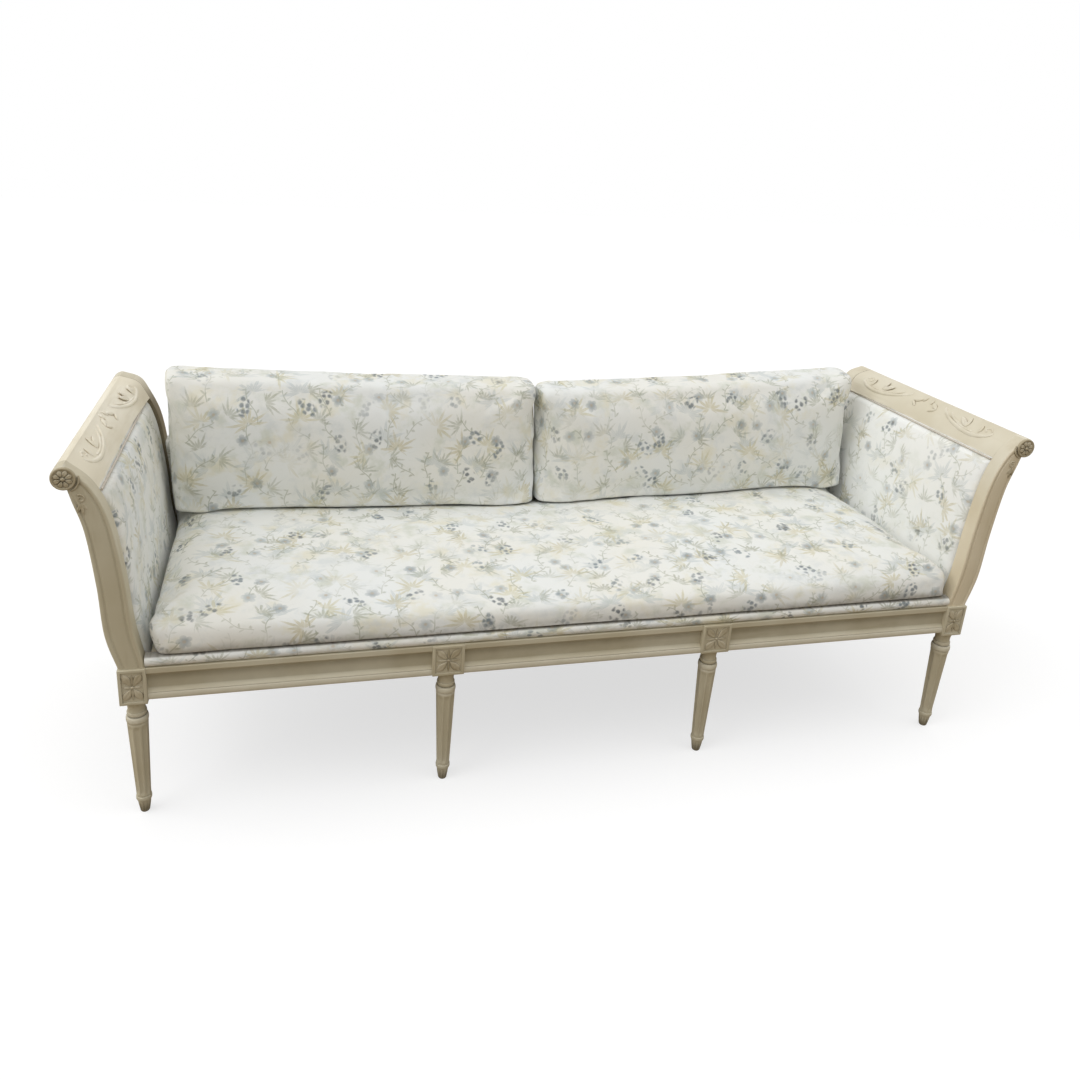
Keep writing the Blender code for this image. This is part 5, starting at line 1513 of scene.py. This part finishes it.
stuffing = {
    "quality": 5, "mass": 0.3, "tension_stiffness": 18, "compression_stiffness": 18, "shear_stiffness": 6,
    "bending_stiffness": 0.4, "use_pressure": True, "shrink_min": -0.012, "vertex_group_mass": "held",
}
stuffingSteps = 20
seatLook = {
    "node": "seat_cushion", "body": "seat_cushion_body", "fill": 0.55, "base": 0.4026, "top": 0.5086,
    "shrink": 0.009, "voxel": 0.0115, "pressure": 4.0, "cap": 0.024, "spare": (0.0010, 0.0010, 0.0004),
    "smooth": 10, "crease": 0.0018, "tuck": 0.034, "tuckShare": 0.80, "frontTuck": 0.45, "clear": 0.0004,
    "sag": 0.017, "sagReach": 0.62, "belly": 0.006, "brow": 0.090, "browDrop": 0.024,
    "endFrom": 0.80, "flare": 0.009, "frontFrom": -0.20, "cornerPull": {"left": 0.024, "right": 0.004},
    "swell": 0.012, "swellGap": 0.0006, "swellSpan": (0.115, 0.175), "swellReach": 0.02, "swellNear": 2,
    "fold": 0.012, "cut": (7.0, 1.0),
}
backCushionLook = {
    # how far the top rises above the solid at each end, and where the outer end stands at bottom and top
    "left": {"node": "back_cushion_left", "body": "back_cushion_left_body",
             "outerRise": 0.024, "innerRise": -0.016, "outer": (0.968, 0.978), "cut": (10.0, 0.0)},
    "right": {"node": "back_cushion_right", "body": "back_cushion_right_body",
              "outerRise": 0.008, "innerRise": -0.030, "outer": (0.970, 0.972), "cut": (14.0, 0.0)},
    "fill": 0.65, "base": 0.5089, "top": 0.8439, "inner": 0.0012, "middle": 0.4768,
    "shrink": 0.010, "voxel": 0.0085, "pressure": 4.0, "cap": 0.024, "spare": (0.0010, 0.0010, 0.0004),
    "smooth": 6, "crease": 0.0015, "tuck": 0.044, "tuckShare": 0.90, "corner": 0.050, "cornerShare": 0.45,
    "lean": 5, "endEdge": 0.040, "endShare": 0.40, "endSet": 0.007, "fold": 0.015,
    "bands": (0.16, 0.84, 18), "bandReach": 0.03, "endReach": 0.15,
    "contact": 0.145, "rest": 0.0006, "dropNear": 3, "dropMost": 0.05,
}
seatColumns = np.linspace(-0.97, 0.97, 98)


def writeSpots(data, spots):
    data.vertices.foreach_set("co", np.ascontiguousarray(spots).ravel())
    data.update()


def readNormals(data):
    flat = np.empty(len(data.vertices) * 3)
    data.vertex_normals.foreach_get("vector", flat)
    return flat.reshape(-1, 3)


def easedAll(values):
    t = np.clip(values, 0, 1)
    return t ** 2 * (3 - 2 * t)


def fuller(spots, first, second, reach, share):  # draws a rounded edge out towards the corner of two faces
    near, far = (np.abs(spots[:, axis] - face) for axis, face in (first, second))
    pull = share * (1 - easedAll(near / reach)) * (1 - easedAll(far / reach))
    for axis, face in (first, second):
        spots[:, axis] += (face - spots[:, axis]) * pull


def stuffCushion(cushion, look, held):
    begin = readSpots(cushion.data)
    group = cushion.vertex_groups.new(name="held")
    for i, normal in enumerate(readNormals(cushion.data)):
        if held(normal):
            group.add([i], 1.0, "REPLACE")
    cloth = cushion.modifiers.new("swell", "CLOTH")
    for setting, value in stuffing.items():
        setattr(cloth.settings, setting, value)
    cloth.settings.uniform_pressure_force = look["pressure"]
    cloth.settings.effector_weights.gravity = 0
    cloth.collision_settings.use_collision = False
    cloth.point_cache.frame_start, cloth.point_cache.frame_end = 1, stuffingSteps
    for step in range(1, stuffingSteps + 1):
        bpy.context.scene.frame_set(step)
    swollen = bake(cushion)
    shift = readSpots(swollen) - begin
    far = np.linalg.norm(shift, axis=1, keepdims=True)
    shift *= look["cap"] / np.maximum(far + look["cap"], 1e-6)  # a soft limit on how far a point moves
    cushion.modifiers.clear()
    bpy.data.meshes.remove(swollen)
    writeSpots(cushion.data, begin + shift)
    bpy.context.scene.frame_set(1)


def plump(name, look, slump, held, material):
    shell = bmesh.new()
    shell.from_mesh(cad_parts[look["node"]].data)
    bmesh.ops.remove_doubles(shell, verts=shell.verts, dist=1e-5)
    bmesh.ops.recalc_face_normals(shell, faces=shell.faces)
    shell.normal_update()
    moved = [v.co - v.normal * look["shrink"] for v in shell.verts]
    for v, spot in zip(shell.verts, moved):
        v.co = spot
    cushion = addShell(name, shell, material, 180, turnOut=False)
    change = cushion.modifiers.new("voxels", "REMESH")
    change.mode, change.voxel_size, change.use_smooth_shade = "VOXEL", look["voxel"], True
    change = cushion.modifiers.new("even", "SMOOTH")
    change.factor, change.iterations = 0.5, look["smooth"]
    settle(cushion)
    stuffCushion(cushion, look, held)
    change = cushion.modifiers.new("finer", "SUBSURF")
    change.levels = change.render_levels = 1
    settle(cushion)
    spots = readSpots(cushion.data)
    low, high = (np.array(c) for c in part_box(look["node"]))
    low, high = low + look["spare"], high - look["spare"]  # back to the size of the solid
    start, end = spots.min(axis=0), spots.max(axis=0)
    spots = low + (spots - start) / (end - start) * (high - low)
    for axis, face in ((0, low[0]), (0, high[0]), (1, low[1]), (1, high[1])):
        share = look.get("frontTuck", look["tuckShare"]) if face == low[1] else look["tuckShare"]
        fuller(spots, (axis, face), (2, low[2]), look["tuck"], share)
    writeSpots(cushion.data, slump(spots, low, high))
    return cushion


def crease(cushion, depth, scale, shift):  # shallow slanting folds, and smaller ones over them
    data = cushion.data
    spots, normals = readSpots(data), readNormals(data)
    for i, (x, y, z) in enumerate(spots):
        a = noise.noise(Vector((x * 3.2 + y * 2.1 + shift, y * 6.5 - x * 4.0 + z * 5.0, z * 4.0)) * scale)
        b = noise.noise(Vector((x * 9.0 + shift, y * 9.0, z * 9.0)))
        spots[i] += normals[i] * depth * (a + 0.45 * b)
    writeSpots(data, spots)


def shareOf(spots, look):  # how high up in the cushion, 0 to 1
    return np.clip((spots[:, 2] - look["base"]) / (look["top"] - look["base"]), 0, 1)


def seatCushion():
    look = seatLook

    def slump(spots, low, high):
        share = shareOf(spots, look)
        spots[:, 2] -= look["sag"] * np.exp(-(spots[:, 0] / look["sagReach"]) ** 2) * share
        behind = np.clip((spots[:, 1] - low[1]) / look["brow"], 0, 1)  # the front edge rolls over gently
        spots[:, 2] -= look["browDrop"] * (1 - np.sqrt(1 - (1 - behind) ** 2)) * share
        end = np.clip((np.abs(spots[:, 0]) - look["endFrom"]) / (high[0] - look["endFrom"]), 0, 1)
        spots[:, 0] += np.sign(spots[:, 0]) * look["flare"] * end * share
        front = np.clip((look["frontFrom"] - spots[:, 1]) / (look["frontFrom"] - low[1]), 0, 1)
        pull = np.where(spots[:, 0] < 0, look["cornerPull"]["left"], -look["cornerPull"]["right"])
        spots[:, 0] += pull * end ** 3 * front ** 4 * (1 - share)
        bulge = np.sin(np.pi * np.clip(share * 0.8 + 0.15, 0, 1)) * (1 - (spots[:, 0] / high[0]) ** 8)
        spots[:, 1] -= look["belly"] * front ** 2 * bulge
        return spots

    cushion = plump("seat_cushion_filled", look, slump, lambda n: n[2] < -0.6, printSeat)
    crease(cushion, look["crease"], 1.0, 3.0)
    spots = readSpots(cushion.data)
    spots[:, 2] = np.maximum(spots[:, 2], look["base"] + look["clear"])
    writeSpots(cushion.data, spots)
    top = spots[:, 2].max()

    def plan(spot, facing):
        drop = np.maximum(top - look["fold"] - spot[:, 2], 0)
        end = np.abs(facing[:, 0]) > np.abs(facing[:, 1])
        u = spot[:, 0] + np.where(end, np.sign(spot[:, 0]) * drop, 0)
        v = spot[:, 1] + np.where(end, 0, np.sign(spot[:, 1]) * drop)
        return u, v

    layCloth(cushion, look["cut"], plan)
    dress(cushion, look["node"], look["body"])
    return cushion


def seatBelow(x, y):  # the height of the seat's top, or None beside it
    hit, spot, _, _ = seat.ray_cast(Vector((x, y, 1)), Vector((0, 0, -1)))
    return spot.z if hit else None


def evenedOut(values, reach):  # each value becomes the mean of itself and its neighbours on both sides
    wide = 2 * reach + 1
    return np.convolve(np.pad(values, reach, mode="edge"), np.ones(wide) / wide, mode="valid")


def seatTopLine():  # how far below the base of the back cushions the seat lies, along X
    look = backCushionLook
    tops = [seatBelow(x, look["contact"]) for x in seatColumns]
    drops = [0.0 if top is None else look["base"] - top for top in tops]
    return np.clip(evenedOut(drops, look["dropNear"]) - look["rest"], 0, look["dropMost"])


def backCushion(side, sign):
    look = {**backCushionLook, **backCushionLook[side]}
    slope = math.tan(math.radians(look["lean"]))

    def slump(spots, low, high):
        for face in (low[0], high[0]):
            fuller(spots, (0, face), (2, high[2]), look["corner"], look["cornerShare"])
        lean = slope * (spots[:, 2] - look["base"])
        spots[:, 1] -= lean
        front = spots[:, 1].min() + look["endSet"]
        for face in (low[0], high[0]):
            fuller(spots, (0, face), (1, front), look["endEdge"], look["endShare"])
        spots[:, 1] += lean
        share = shareOf(spots, look)
        near, far = sorted((abs(low[0]), abs(high[0])))
        out = np.clip((np.abs(spots[:, 0]) - near) / (far - near), 0, 1)
        bands = np.linspace(*look["bands"])  # the ends, drawn in between the corners, are pressed flat
        inBand = [out[np.abs(share - height) < look["bandReach"]] for height in bands]
        first, last = [band.min() for band in inBand], [band.max() for band in inBand]
        reach = look["endReach"]
        out = out - np.interp(share, bands, first) * np.clip(1 - out / reach, 0, 1)
        out = out + (1 - np.interp(share, bands, last)) * np.clip((out - (1 - reach)) / reach, 0, 1)
        bottom, top = look["outer"]
        spots[:, 0] = sign * (look["inner"] + out * (bottom + (top - bottom) * share - look["inner"]))
        rise = look["innerRise"] + (look["outerRise"] - look["innerRise"]) * out
        spots[:, 2] += rise * share - np.interp(spots[:, 0], seatColumns, seatDrops) * (1 - share)
        return spots

    cushion = plump(look["node"] + "_filled", look, slump, lambda n: n[1] > 0.6 or n[2] < -0.75, printCloth)
    crease(cushion, look["crease"], 1.2, 11.0 * sign)
    front = readSpots(cushion.data)[:, 1].min()

    def plan(spot, facing):
        drop = np.maximum(spot[:, 1] - slope * (spot[:, 2] - look["base"]) - front - look["fold"], 0)
        end = np.abs(facing[:, 0]) > np.abs(facing[:, 2])
        u = spot[:, 0] + np.where(end, np.sign(spot[:, 0] - sign * look["middle"]) * drop, 0)
        v = spot[:, 2] + np.where(end, 0, np.sign(spot[:, 2] - (look["base"] + look["top"]) / 2) * drop)
        return u, v

    layCloth(cushion, look["cut"], plan)
    dress(cushion, look["node"], look["body"])
    return cushion


def swellSeat(backs):  # the seat swells up to meet the back cushions that stand on it
    look, near = seatLook, seatLook["swellNear"]
    gaps = np.full(len(seatColumns), look["swell"])
    for back in backs:
        spots = readSpots(back.data)
        for x, y, z in spots[spots[:, 2] < look["top"] + look["swellReach"]]:
            top = seatBelow(x, y)
            if top is not None:
                column = int(np.abs(seatColumns - x).argmin())
                gaps[column] = min(gaps[column], z - top)
    least = np.array([gaps[max(at - near, 0):at + near + 1].min() for at in range(len(gaps))])
    rise = evenedOut(np.clip(least - look["swellGap"], 0, None), near)
    spots = readSpots(seat.data)
    start, end = look["swellSpan"]
    ramp = easedAll((spots[:, 1] - start) / (end - start))
    spots[:, 2] += np.interp(spots[:, 0], seatColumns, rise) * ramp * shareOf(spots, look)
    writeSpots(seat.data, spots)


seat = seatCushion()
bpy.context.view_layer.update()
seatDrops = seatTopLine()
print("seat cushion done")
swellSeat([backCushion(side, sign) for side, sign in sides])
print("back cushions done")

for pattern in (petal, leaf, bud):  # patterns have done their work
    removePiece(pattern)
